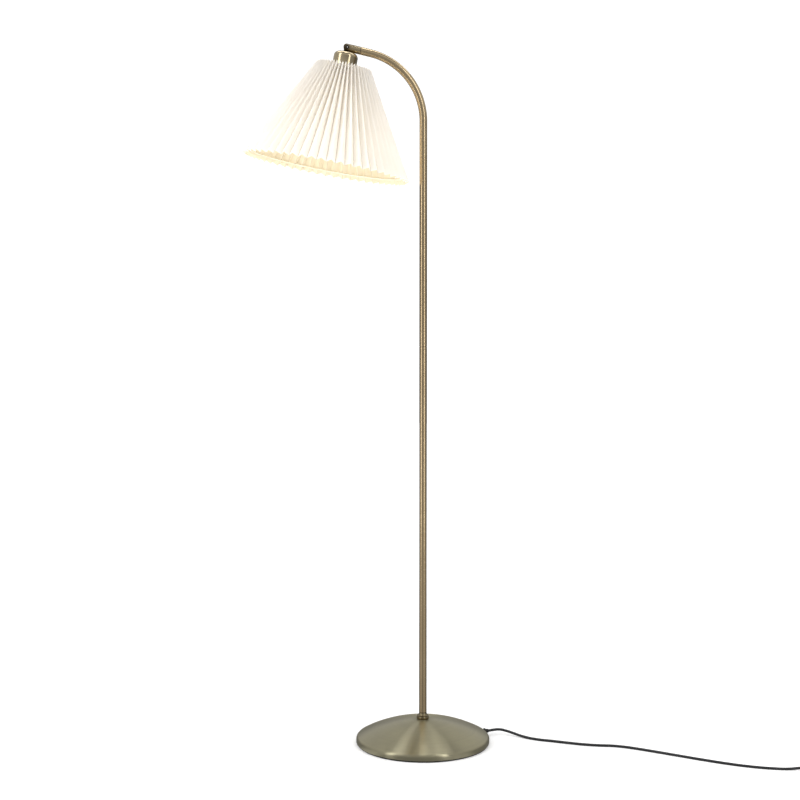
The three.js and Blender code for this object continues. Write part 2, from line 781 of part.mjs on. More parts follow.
// ---------------------------------------------------------------- free mains lead
// Its route runs from the gland's tip to the foot switch, then into the stored coil and the plug.
const floorHeight = cordRadius + 0.15;
const leadRoute = [
  [165.6, 58.5, 11.6],
  [180, 55.5, 9.4],
  [194, 48.5, 6.6],
  [207, 39, 4.4],
  [222, 27.5, 3.2],
  [243, 14.5, floorHeight],
  [273, 3, floorHeight],
  [303, -9, floorHeight],
  [333, -20, floorHeight],
  [365, -27.5, floorHeight],
  [396, -31, floorHeight],
  [422, -40, floorHeight],
  [450, -55, floorHeight],
  [483, -75, floorHeight],
  [524, -101, floorHeight],
  [566, -127, floorHeight],
  [608, -151, floorHeight],
  [650, -170, floorHeight],
  [690, -181.5, floorHeight],
  [722, -185.5, 3.2],
  [744, -186, 5.2],
];
const switchEntry = switchSplit + GAP / 2;
const switchEnd = switchLength / 2 + GAP;
const coilPitch = 2 * cordRadius;
const coilOuterTurn = coilMeanRadius + coilPitch * (coilAcross - 1) / 2;

function stepToward(point, next, distance) {
  const start = new THREE.Vector3(...point);
  const toward = new THREE.Vector3(...next).sub(start).normalize();
  return start.addScaledVector(toward, distance).toArray();
}

const up = new THREE.Vector3(0, 0, 1);
const glandNose = new THREE.Vector3(...glandPoint(glandTail)).applyAxisAngle(up, cordSide).toArray();
const runPoints = [
  stepToward(glandNose, leadRoute[0], GAP),
  ...leadRoute,
  [switchCentre[0] - switchEnd, switchCentre[1], switchEntry],
];
add(lamp, 'lead_run', alongCurve(smoothCurve(runPoints), cordRadius, 10, 54), blackPlastic);

// The link meets the coil where the outer turn's edge begins to cross its line.
const coilOutside = coilMeanRadius + coilPitch * coilAcross / 2;
const linkInnerEdge = coilOuterTurn - cordRadius;
const linkEnd = coilCentre[0] - Math.sqrt(coilOutside ** 2 - linkInnerEdge ** 2) - GAP;
add(lamp, 'lead_link', alongCurve(smoothCurve([
  [switchCentre[0] + switchEnd, switchCentre[1], switchEntry],
  [switchCentre[0] + switchEnd + 9, switchCentre[1], 5.6],
  [linkEnd - 8, switchCentre[1], 3.2],
  [linkEnd, switchCentre[1], floorHeight],
]), cordRadius, 10, 6), blackPlastic);
add(lamp, 'lead_coil', ring(coilMeanRadius - coilPitch * coilAcross / 2, coilOutside,
  0.1, 0.1 + coilLayers * coilPitch + 0.2, 40).translate(...coilCentre, 0), blackPlastic);
add(lamp, 'lead_tail', alongCurve(smoothCurve([
  [linkEnd, plugRear[1], floorHeight + coilPitch],
  [(linkEnd + plugRear[0]) / 2, plugRear[1], floorHeight + coilPitch - 0.6],
  [plugRear[0] + GAP, plugRear[1], plugHalfHeight],
]), cordRadius, 10, 3), blackPlastic);

// ---------------------------------------------------------------- foot switch on the lead
const footSwitch = placed(lamp, [...switchCentre, 0]);
const switchScrews = [[-25, 11], [25, -11]];

function switchOutline(inset) {
  const x = switchLength / 2 - inset;
  const y = switchWidth / 2 - inset;
  const corner = switchCorner - inset;
  const outline = new THREE.Shape();
  outline.moveTo(x - corner, -y);
  outline.absarc(x - corner, -y + corner, corner, -Math.PI / 2, 0, false);
  outline.absarc(x - corner, y - corner, corner, 0, Math.PI / 2, false);
  outline.absarc(-x + corner, y - corner, corner, Math.PI / 2, Math.PI, false);
  outline.absarc(-x + corner, -y + corner, corner, Math.PI, 3 * Math.PI / 2, false);
  return outline;
}

function switchSlab(inset, low, high) {
  const settings = { depth: high - low, bevelEnabled: false, curveSegments: 3 };
  return new THREE.ExtrudeGeometry(switchOutline(inset), settings).translate(0, 0, low);
}

function leadHole() {
  return rodAlongX(cordRadius + GAP, -switchLength, switchLength, 12).translate(0, 0, switchEntry);
}

function atSwitchScrews(radius, low, high, sides) {
  return switchScrews.map(([x, y]) => rod(radius, low, high, sides).translate(x, y, 0));
}

function switchBase() {
  const holes = atSwitchScrews(smallScrewRadius + GAP, -1, switchSplit, 10);
  const hollow = switchSlab(switchWall, switchWall, switchSplit + 1);
  return cut(switchSlab(0, 0, switchSplit), hollow, leadHole(), ...holes);
}

function switchCover() {
  const low = switchSplit + GAP;
  const edge = 3;
  const hollow = cut(
    join(switchSlab(0, low, switchHeight - edge), switchSlab(edge * 0.35, low, switchHeight - edge * 0.35),
      switchSlab(edge, low, switchHeight)),
    switchSlab(switchWall, low - 1, switchHeight - edge),
    switchSlab(switchWall + edge - 1, low, switchHeight - switchWall),
    leadHole(),
    rod(buttonRadius + buttonSlack, low, switchHeight + 1, 20));
  const posts = atSwitchScrews(smallScrewRadius + 2, low, switchHeight - 1, 8);
  const bores = atSwitchScrews(smallScrewRadius + GAP, low - 1, switchHeight - 5, 10);
  return cut(join(hollow, ...posts), ...bores);
}

function switchButton() {
  const flangeTop = switchHeight - switchWall - GAP;
  const top = switchHeight + buttonProud;
  return turned([
    [0, flangeTop - 2],
    [buttonRadius + 1.2, flangeTop - 2],
    [buttonRadius + 1.2, flangeTop],
    [buttonRadius, flangeTop],
    [buttonRadius, top - 1.5],
    [buttonRadius - 1.5, top],
    [0, top - 0.8],
  ], 20);
}

function switchMechanism() {
  const top = switchHeight - switchWall - GAP - 2 - buttonTravel - GAP;
  const half = 10;
  const channel = cordRadius + GAP;
  return cut(block([-half, -half, switchWall + GAP], [half, half, top]),
    block([-half - 1, -channel, switchEntry - channel], [half + 1, channel, top + 1]));
}

add(footSwitch, 'switch_base', switchBase(), blackPlastic);
add(footSwitch, 'switch_cover', switchCover(), blackPlastic);
add(footSwitch, 'switch_button', switchButton(), blackPlastic);
add(footSwitch, 'switch_mechanism', switchMechanism(), whitePlastic);
atSwitchScrews(smallScrewRadius, 0.6, switchHeight - 6, 10).forEach((screw, k) => {
  add(footSwitch, `switch_screw_${k + 1}`, screw, steel);
});

// ---------------------------------------------------------------- plug
// x runs from the lead's entry toward the pins.
const plug = placed(lamp, [...plugRear, plugHalfHeight], 'z', Math.PI);

function plugBody() {
  const rear = plugRelief;
  const front = plugRelief + plugBodyLength;
  const outline = new THREE.Shape();
  outline.moveTo(rear, -plugRearHalfWidth);
  outline.lineTo(rear + plugTaper, -plugWaistHalfWidth);
  outline.lineTo(front - plugTaper, -plugHalfWidth);
  outline.lineTo(front, -plugHalfWidth);
  outline.lineTo(front, plugHalfWidth);
  outline.lineTo(front - plugTaper, plugHalfWidth);
  outline.lineTo(rear + plugTaper, plugWaistHalfWidth);
  outline.lineTo(rear, plugRearHalfWidth);
  const slab = new THREE.ExtrudeGeometry(outline, { depth: 2 * plugHalfHeight - 0.2, bevelEnabled: false })
    .translate(0, 0, -plugHalfHeight + 0.1);
  const reliefEnd = rear + 4;           // the relief runs a little way into the body
  const relief = turned([
    [0, 0],
    [glandTip - 0.1, 0],
    [plugReliefRadius, rear],
    [plugReliefRadius, reliefEnd],
    [0, reliefEnd],
  ], 14).rotateY(Math.PI / 2);
  const sockets = [-1, 1].map((side) => rodAlongX(pinRadius + GAP, front - pinRooted, front + 1, 12)
    .translate(0, side * pinHalfSpacing, 0));
  return cut(join(slab, relief), ...sockets);
}

function plugPin(side) {
  const front = plugRelief + plugBodyLength;
  const tip = front + pinLength;
  return turned([[0, front - pinRooted + GAP], [pinRadius, front - pinRooted + GAP], [pinRadius, tip - 1.2],
    [pinRadius - 0.9, tip], [0, tip]], 12).rotateY(Math.PI / 2).translate(0, side * pinHalfSpacing, 0);
}

add(plug, 'plug_body', plugBody(), blackPlastic);
add(plug, 'plug_pin_left', plugPin(-1), steel);
add(plug, 'plug_pin_right', plugPin(1), steel);

export default lamp;
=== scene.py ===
# %% [markdown]
# # A brass reading lamp with a pleated shade
# The lamp's tubes, knuckle and base come in as a fixed frame of plain solids in metres. This lesson
# dresses that frame: each piece that shows gets a fine surface of its own that rides on the same body
# as the solid it stands for, and every finish is worked out from nodes.

# %% Load the frame
import json
import math
import random

import bmesh
import bpy
import numpy as np
from mathutils import Matrix, Vector


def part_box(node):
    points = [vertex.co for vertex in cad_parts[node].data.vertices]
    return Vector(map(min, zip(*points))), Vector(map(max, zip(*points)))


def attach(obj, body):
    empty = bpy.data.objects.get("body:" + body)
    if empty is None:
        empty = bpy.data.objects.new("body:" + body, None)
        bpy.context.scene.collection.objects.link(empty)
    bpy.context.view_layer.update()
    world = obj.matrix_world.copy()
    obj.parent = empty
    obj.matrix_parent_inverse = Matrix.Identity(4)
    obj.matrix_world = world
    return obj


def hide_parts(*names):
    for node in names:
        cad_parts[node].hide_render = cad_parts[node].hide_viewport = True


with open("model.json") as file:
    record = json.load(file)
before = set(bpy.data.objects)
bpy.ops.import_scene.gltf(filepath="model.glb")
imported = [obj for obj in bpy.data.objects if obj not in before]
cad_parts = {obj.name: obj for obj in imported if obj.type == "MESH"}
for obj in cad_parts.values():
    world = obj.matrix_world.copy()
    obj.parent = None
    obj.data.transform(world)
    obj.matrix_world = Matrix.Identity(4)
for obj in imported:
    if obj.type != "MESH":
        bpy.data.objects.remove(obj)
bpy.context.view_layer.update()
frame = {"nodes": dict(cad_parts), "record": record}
nodes = frame["nodes"]
joints = {joint["name"]: joint for joint in frame["record"]["behaviour"]["joints"]}

# %% [markdown]
# The camera stands three metres in front of the lamp at a little under chest height and looks slightly
# down. It is far enough away that the upright stem stays straight. A longer lens is used instead of
# moving closer, because it keeps the round base from looking too deep.

# %% Camera
camera = bpy.data.objects.new("camera", bpy.data.cameras.new("camera"))
bpy.context.scene.collection.objects.link(camera)
camera.location = (-0.048, -3.0, 0.9)
camera.rotation_euler = (math.radians(90 - 3.37), 0, 0)
camera.data.sensor_width = 36
camera.data.lens = 65.1
bpy.context.scene.camera = camera
print("camera:", tuple(round(v, 3) for v in camera.location))

# %% [markdown]
# Every shaped piece here starts as points and faces. A round piece is turned, as on a lathe: one
# outline of (radius, height) pairs is swept round the upright axis. Corners of the outline are eased
# with a small curve first, because a real edge always catches a thin line of light. Edges sharper than
# an angle stay crisp and all others are shaded smooth.

# %% Making pieces from points
def finished_mesh(name, points, faces, crease=35, place=None):
    mesh = bpy.data.meshes.new(name)
    mesh.from_pydata([tuple(point) for point in points], [], faces)
    work = bmesh.new()
    work.from_mesh(mesh)
    bmesh.ops.recalc_face_normals(work, faces=work.faces)
    work.to_mesh(mesh)
    work.free()
    mesh.shade_smooth()
    mesh.set_sharp_from_angle(angle=math.radians(crease))
    piece = bpy.data.objects.new(name, mesh)
    bpy.context.scene.collection.objects.link(piece)
    if place is not None:
        piece.matrix_world = place
    return piece


def circle(radius, sides, height=0.0):
    turns = [2 * math.pi * k / sides for k in range(sides)]
    return [(radius * math.cos(turn), radius * math.sin(turn), height) for turn in turns]


def eased(outline, size, steps=4):
    """The outline with each inner corner rounded by a curve that starts `size` before it."""
    closed = outline[0] == outline[-1]
    corners = [np.array(point, float) for point in (outline[:-1] if closed else outline)]
    count = len(corners)
    result = []
    for k, corner in enumerate(corners):
        if not closed and k in (0, count - 1):
            result.append(corner)
            continue
        back, ahead = corners[k - 1] - corner, corners[(k + 1) % count] - corner
        reach = min(size, 0.45 * np.linalg.norm(back), 0.45 * np.linalg.norm(ahead))
        start = corner + back / np.linalg.norm(back) * reach
        end = corner + ahead / np.linalg.norm(ahead) * reach
        for step in range(steps + 1):
            t = step / steps
            result.append((1 - t) ** 2 * start + 2 * t * (1 - t) * corner + t ** 2 * end)
    result = [tuple(float(v) for v in point) for point in result]
    return result + result[:1] if closed else result


def skin(rows, around=True, lengthways=False):
    """Faces between rows of point numbers; a doubled corner at a pole is dropped."""
    faces = []
    pairs = list(zip(rows, rows[1:])) + ([(rows[-1], rows[0])] if lengthways else [])
    for low, high in pairs:
        count = len(low)
        for k in range(count if around else count - 1):
            nxt = (k + 1) % count
            face = list(dict.fromkeys((low[k], low[nxt], high[nxt], high[k])))
            if len(face) > 2:
                faces.append(face)
    return faces


def turned(name, outline, sides=96, crease=35, place=None):
    closed = outline[0] == outline[-1]
    points, rows = [], []
    for radius, height in (outline[:-1] if closed else outline):
        if radius < 1e-9:
            rows.append([len(points)] * sides)
            points.append((0, 0, height))
        else:
            rows.append(list(range(len(points), len(points) + sides)))
            points += circle(radius, sides, height)
    return finished_mesh(name, points, skin(rows, lengthways=closed), crease, place)


def lofted(name, rings, crease=35, place=None):
    """A solid skinned over rings of equal count, closed by a flat face at each end."""
    count = len(rings[0])
    points = [point for ring in rings for point in ring]
    rows = [list(range(k * count, (k + 1) * count)) for k in range(len(rings))]
    return finished_mesh(name, points, skin(rows) + [rows[0][::-1], rows[-1]], crease, place)


def looped(name, rings, crease=35, place=None):
    """A hollow solid skinned over rings of equal count, the last one joined to the first."""
    count = len(rings[0])
    points = [point for ring in rings for point in ring]
    rows = [list(range(k * count, (k + 1) * count)) for k in range(len(rings))]
    return finished_mesh(name, points, skin(rows, lengthways=True), crease, place)


def steps_between(start, end, count):
    return [start + (end - start) * k / (count - 1) for k in range(count)]


def corners_of(node):
    """A node's lowest and highest corners in the frame."""
    return [Vector(corner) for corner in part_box(node)]


print("ready: turned, lofted and looped pieces")


# %% [markdown]
# The mains lead is one real length of round black flex. It leaves the base through a rubber gland,
# rises a little, comes down on the floor and runs off to the right. A foot switch sits on it further
# along, and what is left is wound for storage in a neat coil with the plug beside it. A Bezier curve
# with automatic handles suits it: it passes through each route point smoothly, and its bevel gives the
# flex its thickness.

# %% Route of the lead
CORD_RADIUS = 0.00275
FLOOR_HEIGHT = CORD_RADIUS + 0.00015
SWITCH = Vector((0.803, -0.186, 0))
SWITCH_LENGTH = 0.076
SWITCH_HALF = SWITCH_LENGTH / 2
ENTRY_HEIGHT = 0.00715
COIL_CENTRE = Vector((0.903, -0.2215, 0))
COIL_RADIUS = 0.030
PLUG_REAR = Vector((0.868, -0.257, 0.007))

GLAND_TURN = math.radians(20)
GLAND_RISE = math.radians(3.4)
GLAND_HEIGHT = 0.0105
GLAND_END = 0.010
base_low, base_high = corners_of("base_cover")
base_radius = base_high.y
gland_place = (Matrix.Rotation(GLAND_TURN, 4, "Z")
               @ Matrix.Translation((base_radius, 0, GLAND_HEIGHT))
               @ Matrix.Rotation(math.pi / 2 - GLAND_RISE, 4, "Y"))

lead_route = [
    (0.1656, 0.0585, 0.0116),
    (0.180, 0.0555, 0.0094),
    (0.194, 0.0485, 0.0066),
    (0.207, 0.039, 0.0044),
    (0.222, 0.0275, 0.0032),
    (0.243, 0.0145, FLOOR_HEIGHT),
    (0.273, 0.003, FLOOR_HEIGHT),
    (0.303, -0.009, FLOOR_HEIGHT),
    (0.333, -0.020, FLOOR_HEIGHT),
    (0.365, -0.0275, FLOOR_HEIGHT),
    (0.396, -0.031, FLOOR_HEIGHT),
    (0.422, -0.040, FLOOR_HEIGHT),
    (0.450, -0.055, FLOOR_HEIGHT),
    (0.483, -0.075, FLOOR_HEIGHT),
    (0.524, -0.101, FLOOR_HEIGHT),
    (0.566, -0.127, FLOOR_HEIGHT),
    (0.608, -0.151, FLOOR_HEIGHT),
    (0.650, -0.170, FLOOR_HEIGHT),
    (0.690, -0.1815, FLOOR_HEIGHT),
    (0.722, -0.1855, 0.0032),
    (0.744, -0.186, 0.0052),
]


def coil_turns():
    """Three turns side by side, winding in on the floor, then three winding out on top of them."""
    pitch = 2 * CORD_RADIUS
    per_turn = 24
    ramp = 0.2                                   # share of a turn taken by each step to the next one
    radii = [COIL_RADIUS + pitch * offset for offset in (1, 0, -1, -1, 0, 1, 1)]
    heights = [FLOOR_HEIGHT + pitch * layer for layer in (0, 0, 0, 1, 1, 1, 1)]
    turns = 6.5
    points = []
    for k in range(int(turns * per_turn) + 1):
        turn = k / per_turn
        whole = min(int(turn), len(radii) - 2)
        share = max(0.0, (turn - whole - (1 - ramp)) / ramp)
        blend = 0.5 - 0.5 * math.cos(math.pi * min(share, 1.0))
        radius = radii[whole] + (radii[whole + 1] - radii[whole]) * blend
        height = heights[whole] + (heights[whole + 1] - heights[whole]) * blend
        angle = math.pi / 2 - 2 * math.pi * turn
        x = COIL_CENTRE.x + radius * math.cos(angle)
        y = COIL_CENTRE.y + radius * math.sin(angle)
        points.append((x, y, height))
    return points


through_switch = [
    (SWITCH.x - SWITCH_HALF, SWITCH.y, ENTRY_HEIGHT),
    (SWITCH.x - SWITCH_HALF / 3, SWITCH.y, ENTRY_HEIGHT),
    (SWITCH.x + SWITCH_HALF / 3, SWITCH.y, ENTRY_HEIGHT),
    (SWITCH.x + SWITCH_HALF, SWITCH.y, ENTRY_HEIGHT),
    (SWITCH.x + SWITCH_HALF + 0.0093, SWITCH.y, 0.0056),
    (SWITCH.x + SWITCH_HALF + 0.026, SWITCH.y, 0.0034),
]
to_plug = [
    (COIL_CENTRE.x - 0.019, PLUG_REAR.y, PLUG_REAR.z + 0.0012),
    (PLUG_REAR.x - 0.002, PLUG_REAR.y, PLUG_REAR.z),
]
lead_start = tuple(gland_place @ Vector((0, 0, GLAND_END + 0.0003)))
lead_points = [lead_start] + lead_route + through_switch + coil_turns() + to_plug
print("route of the lead:", len(lead_points), "points")


# %% The lead as one curve
def bezier(name, points, radius, resolution=8):
    data = bpy.data.curves.new(name, "CURVE")
    data.dimensions = "3D"
    data.bevel_depth = radius
    data.bevel_resolution = 6
    data.resolution_u = resolution
    data.use_fill_caps = True
    spline = data.splines.new("BEZIER")
    spline.bezier_points.add(len(points) - 1)
    for knot, point in zip(spline.bezier_points, points):
        knot.co = point
        knot.handle_left_type = knot.handle_right_type = "AUTO"
    piece = bpy.data.objects.new(name, data)
    bpy.context.scene.collection.objects.link(piece)
    return piece


lead = bezier("mains_lead", lead_points, CORD_RADIUS, 6)
point_to_point = sum(math.dist(a, b) for a, b in zip(lead_points, lead_points[1:]))
print("lead:", round(point_to_point, 3), "m along its points")

# %% [markdown]
# Finishes come next, because every piece asks for one. Each is a Principled shader with noise worked
# into its roughness, its colour and its bump. `wire_up` adds one node and joins its inputs, so a
# finish reads as a list of what feeds what. A value that is the same all over goes on the shader's own
# socket.

# %% Building a finish from nodes
def new_finish(name, **settings):
    material = bpy.data.materials.new(name)
    material.use_nodes = True
    shader = material.node_tree.nodes["Principled BSDF"]
    for socket, value in settings.items():
        shader.inputs[socket.replace("_", " ")].default_value = value
    return material, material.node_tree, shader


def wire_up(tree, kind, inputs=None, **attributes):
    made = tree.nodes.new("ShaderNode" + kind)
    for key, value in attributes.items():
        setattr(made, key, value)
    for key, value in (inputs or {}).items():
        if isinstance(value, bpy.types.NodeSocket):
            tree.links.new(value, made.inputs[key])
        else:
            made.inputs[key].default_value = value
    return made


def on_piece(tree):
    """Where a point lies on its own piece, in metres."""
    return wire_up(tree, "TexCoord").outputs["Object"]


def stretched(tree, scale):
    return wire_up(tree, "Mapping", {"Vector": on_piece(tree), "Scale": scale}).outputs["Vector"]


def maths(tree, operation, first, second=0.0):
    return wire_up(tree, "Math", {0: first, 1: second}, operation=operation).outputs[0]


def off_axis(tree):
    """How far a point lies from the piece's upright axis."""
    flat = wire_up(tree, "VectorMath", {0: on_piece(tree), 1: (1, 1, 0)}, operation="MULTIPLY")
    return wire_up(tree, "VectorMath", {0: flat.outputs["Vector"]}, operation="LENGTH").outputs["Value"]


def noise(tree, where, scale, detail=3.0, roughness=0.55):
    settings = {"Vector": where, "Scale": scale, "Detail": detail, "Roughness": roughness}
    return wire_up(tree, "TexNoise", settings).outputs["Fac"]


def spread(tree, value, low, high, start=0.3, end=0.7):
    settings = {"Value": value, "From Min": start, "From Max": end, "To Min": low, "To Max": high}
    return wire_up(tree, "MapRange", settings).outputs["Result"]


def blend_colours(tree, share, first, second):
    made = wire_up(tree, "Mix", data_type="RGBA")
    for socket, value in ((made.inputs["Factor"], share), (made.inputs[6], first), (made.inputs[7], second)):
        if isinstance(value, bpy.types.NodeSocket):
            tree.links.new(value, socket)
        else:
            socket.default_value = value
    return made.outputs[2]


def bumped(tree, shader, height, strength, distance, under=None):
    inputs = {"Height": height, "Strength": strength, "Distance": distance}
    if under is not None:
        inputs["Normal"] = under
    normal = wire_up(tree, "Bump", inputs).outputs["Normal"]
    tree.links.new(normal, shader.inputs["Normal"])
    return normal


def tinted(material, share, colour):
    """Blends one more colour over a finish that is already made."""
    tree = material.node_tree
    tint = tree.nodes["Principled BSDF"].inputs["Base Color"]
    tree.links.new(blend_colours(tree, share, tint.links[0].from_socket, colour), tint)


def let_light_through(tree, shader, tone, share):
    through = wire_up(tree, "BsdfTranslucent", {"Color": tone})
    mixed = wire_up(tree, "MixShader", {"Fac": share, 1: shader.outputs[0], 2: through.outputs[0]})
    tree.links.new(mixed.outputs[0], tree.nodes["Material Output"].inputs["Surface"])


print("ready: noise, bands of tone, bump and light let through")


# %% [markdown]
# The metal is antique brass under a thin lacquer. The base cover is spun on a lathe, so its fine lines
# run in rings and stretch every highlight into two fans across them: a radial tangent with some
# anisotropy does exactly that. The tubes are polished along their length, and stay more golden.

# %% Brass finishes
def spun_brass():
    material, tree, shader = new_finish(
        "spun antique brass", Metallic=1.0, Anisotropic=0.95, Anisotropic_Rotation=0.25)
    radius = off_axis(tree)
    along = wire_up(tree, "CombineXYZ", {"X": radius}).outputs["Vector"]
    rings = noise(tree, along, 1900, 4.0, 0.7)
    bands = noise(tree, along, 170, 2.0)
    clouds = noise(tree, on_piece(tree), 14, 4.0)
    tone = blend_colours(tree, spread(tree, clouds, 0, 1), (0.46, 0.425, 0.292, 1), (0.55, 0.508, 0.336, 1))
    tone = blend_colours(tree, spread(tree, bands, 0, 0.35), tone, (0.42, 0.39, 0.268, 1))
    # Painted shade: the dome is painted darker in a band close to the collar, where the collar meets it.
    collar_painted_shade = spread(tree, radius, 0.55, 0, 0.012, 0.024)
    tone = blend_colours(tree, collar_painted_shade, tone, (0.30, 0.265, 0.17, 1))
    tree.links.new(tone, shader.inputs["Base Color"])
    tree.links.new(spread(tree, rings, 0.29, 0.37), shader.inputs["Roughness"])
    tangent = wire_up(tree, "Tangent", direction_type="RADIAL", axis="Z").outputs["Tangent"]
    tree.links.new(tangent, shader.inputs["Tangent"])
    bumped(tree, shader, bands, 0.03, 0.0001)
    return material


def drawn_brass(name, light, dark, lengthways, roughness=(0.16, 0.22)):
    """Polished tube or turned brass; `lengthways` gives the direction that its fine lines run in."""
    material, tree, shader = new_finish(name, Metallic=1.0, Coat_Weight=0.15, Coat_Roughness=0.12)
    lines = noise(tree, stretched(tree, lengthways), 1, 3.0, 0.6)
    clouds = noise(tree, on_piece(tree), 9, 3.0)
    tree.links.new(blend_colours(tree, spread(tree, clouds, 0, 1), light, dark), shader.inputs["Base Color"])
    tree.links.new(spread(tree, lines, *roughness), shader.inputs["Roughness"])
    bumped(tree, shader, lines, 0.004, 0.0001)
    return material


ALONG_Z = (1400, 1400, 12)
ACROSS_Z = (60, 60, 1500)
base_brass = spun_brass()
stem_brass = drawn_brass("drawn antique brass", (0.62, 0.475, 0.285, 1), (0.545, 0.415, 0.243, 1), ALONG_Z)
turned_brass = drawn_brass("turned antique brass", (0.33, 0.27, 0.16, 1), (0.24, 0.195, 0.115, 1),
                           ACROSS_Z, (0.16, 0.26))
bright_brass = drawn_brass("bright brass", (0.74, 0.60, 0.33, 1), (0.66, 0.53, 0.28, 1),
                           ACROSS_Z, (0.2, 0.3))
# Painted shade: this brass is painted dark for the tongue, which sits in the shade of the slot under the
# sleeve.
slot_shaded_brass = drawn_brass("brass with painted slot shade", (0.24, 0.185, 0.11, 1), (0.17, 0.13, 0.075, 1),
                         ACROSS_Z, (0.2, 0.32))
brasses = (base_brass, stem_brass, turned_brass, bright_brass, slot_shaded_brass)
print("brass finishes:", " | ".join(brass.name for brass in brasses))


# %% [markdown]
# The rest of the lamp is plainer: sand-cast iron for the weight, zinc-plated steel for the fixings,
# black rubber and black plastic on the lead, white plastic round the bulb, and enamelled wire.

# %% Iron, steel, plastic and rubber finishes
def cast_iron():
    material, tree, shader = new_finish("cast iron", Metallic=0.6)
    grain = noise(tree, on_piece(tree), 900, 5.0, 0.7)
    tone = blend_colours(tree, spread(tree, grain, 0, 1), (0.035, 0.034, 0.033, 1), (0.075, 0.072, 0.07, 1))
    tree.links.new(tone, shader.inputs["Base Color"])
    tree.links.new(spread(tree, grain, 0.6, 0.85), shader.inputs["Roughness"])
    bumped(tree, shader, grain, 0.5, 0.0004)
    return material


def plated_steel():
    material, tree, shader = new_finish("zinc plated steel", Metallic=1.0)
    crystals = wire_up(tree, "TexVoronoi", {"Vector": on_piece(tree), "Scale": 700}).outputs["Distance"]
    tone = blend_colours(tree, crystals, (0.62, 0.63, 0.64, 1), (0.47, 0.48, 0.50, 1))
    tree.links.new(tone, shader.inputs["Base Color"])
    tree.links.new(spread(tree, crystals, 0.28, 0.42, 0, 1), shader.inputs["Roughness"])
    bumped(tree, shader, crystals, 0.05, 0.0002)
    return material


def moulded(name, light, dark, roughness, grain_size, depth):
    """Plastic, rubber or enamel: a fine even grain over a slow change of tone."""
    material, tree, shader = new_finish(name, Specular_IOR_Level=0.5)
    grain = noise(tree, on_piece(tree), grain_size, 4.0, 0.6)
    clouds = noise(tree, on_piece(tree), 60, 2.0)
    tree.links.new(blend_colours(tree, spread(tree, clouds, 0, 1), light, dark), shader.inputs["Base Color"])
    tree.links.new(spread(tree, grain, *roughness), shader.inputs["Roughness"])
    bumped(tree, shader, grain, 0.25, depth)
    return material


iron = cast_iron()
steel = plated_steel()
black_rubber = moulded("black rubber", (0.013, 0.013, 0.013, 1), (0.022, 0.021, 0.021, 1),
                       (0.5, 0.68), 2600, 0.0001)
black_plastic = moulded("black plastic", (0.012, 0.012, 0.013, 1), (0.02, 0.02, 0.021, 1),
                        (0.32, 0.46), 2200, 0.0001)
lead_sheath = moulded("lead sheath", (0.010, 0.010, 0.011, 1), (0.019, 0.019, 0.02, 1),
                      (0.36, 0.5), 1500, 0.0001)
white_plastic = moulded("white plastic", (0.80, 0.785, 0.745, 1), (0.75, 0.73, 0.68, 1),
                        (0.28, 0.4), 1200, 0.00005)
cream_enamel = moulded("cream enamel", (0.93, 0.86, 0.69, 1), (0.90, 0.82, 0.64, 1),
                       (0.4, 0.5), 800, 0.00005)
white_enamel = moulded("white enamel", (0.83, 0.81, 0.76, 1), (0.77, 0.74, 0.68, 1),
                       (0.3, 0.42), 800, 0.00005)
print("plain finishes made:", len(bpy.data.materials), "in all")


# %% [markdown]
# The bulb is opal glass. A thin clear shell with a white coating inside scatters light, so the shader
# mixes a glossy white surface with some light let through from behind it.

# %% Opal glass
def opal_glass():
    material, tree, shader = new_finish("opal glass", Roughness=0.22, Coat_Weight=0.4, Coat_Roughness=0.08)
    fog = noise(tree, on_piece(tree), 40, 3.0)
    tone = blend_colours(tree, spread(tree, fog, 0, 1), (0.90, 0.885, 0.85, 1), (0.85, 0.83, 0.78, 1))
    tree.links.new(tone, shader.inputs["Base Color"])
    let_light_through(tree, shader, tone, 0.35)
    return material


opal = opal_glass()
print("glass:", opal.name)


# %% [markdown]
# Every piece is dressed in one call: its finish, the body it rides on and the solids it
# stands for. The lead gets its black sheath first.

# %% Dressing helpers
def dressed(piece, material, slot, body, *stands_for):
    """Gives a piece its finish and its body, and hides the solids that it stands for. The slot is not used.
    """
    if piece.data.materials:
        piece.data.materials[0] = material
    else:
        piece.data.materials.append(material)
    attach(piece, body)
    if stands_for:
        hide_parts(*stands_for)
    return piece


dressed(lead, lead_sheath, "black_plastic", "stand", "lead_run", "lead_link", "lead_coil", "lead_tail")
print("lead dressed")

# %% [markdown]
# The base cover is one disc of brass sheet spun over a form: a shallow dome, a soft rim and an upright
# lip that hides the rubber pad under it. It is turned here from the same curves, with many steps so
# that no flat shows in the reflection, and the hole for the gland is cut through the lip. The lip's
# lower edge is eased, because spun sheet never ends in a knife edge.

# %% Base cover
COVER_WALL = 0.0015
DOME_RADIUS = 0.285
RIM_RADIUS = 0.008
STUD_HOLE = 0.0053
base_top, lip_bottom = base_high.z, base_low.z
dome_centre = base_top - DOME_RADIUS
rim_middle = base_radius - RIM_RADIUS
rim_height = dome_centre + math.sqrt((DOME_RADIUS - RIM_RADIUS) ** 2 - rim_middle ** 2)
rim_angle = math.asin(rim_middle / (DOME_RADIUS - RIM_RADIUS))


def arc_points(centre, radius, start, end, steps):
    angles = steps_between(start, end, steps + 1)
    return [(centre[0] + radius * math.cos(a), centre[1] + radius * math.sin(a)) for a in angles]


def cover_outline(inset):
    rim = arc_points((rim_middle, rim_height), RIM_RADIUS - inset, 0, math.pi / 2 - rim_angle, 14)
    hole_angle = math.asin(STUD_HOLE / (DOME_RADIUS - inset))
    dome = arc_points((0, dome_centre), DOME_RADIUS - inset,
                      math.pi / 2 - rim_angle, math.pi / 2 - hole_angle, 40)
    return rim + dome[1:]


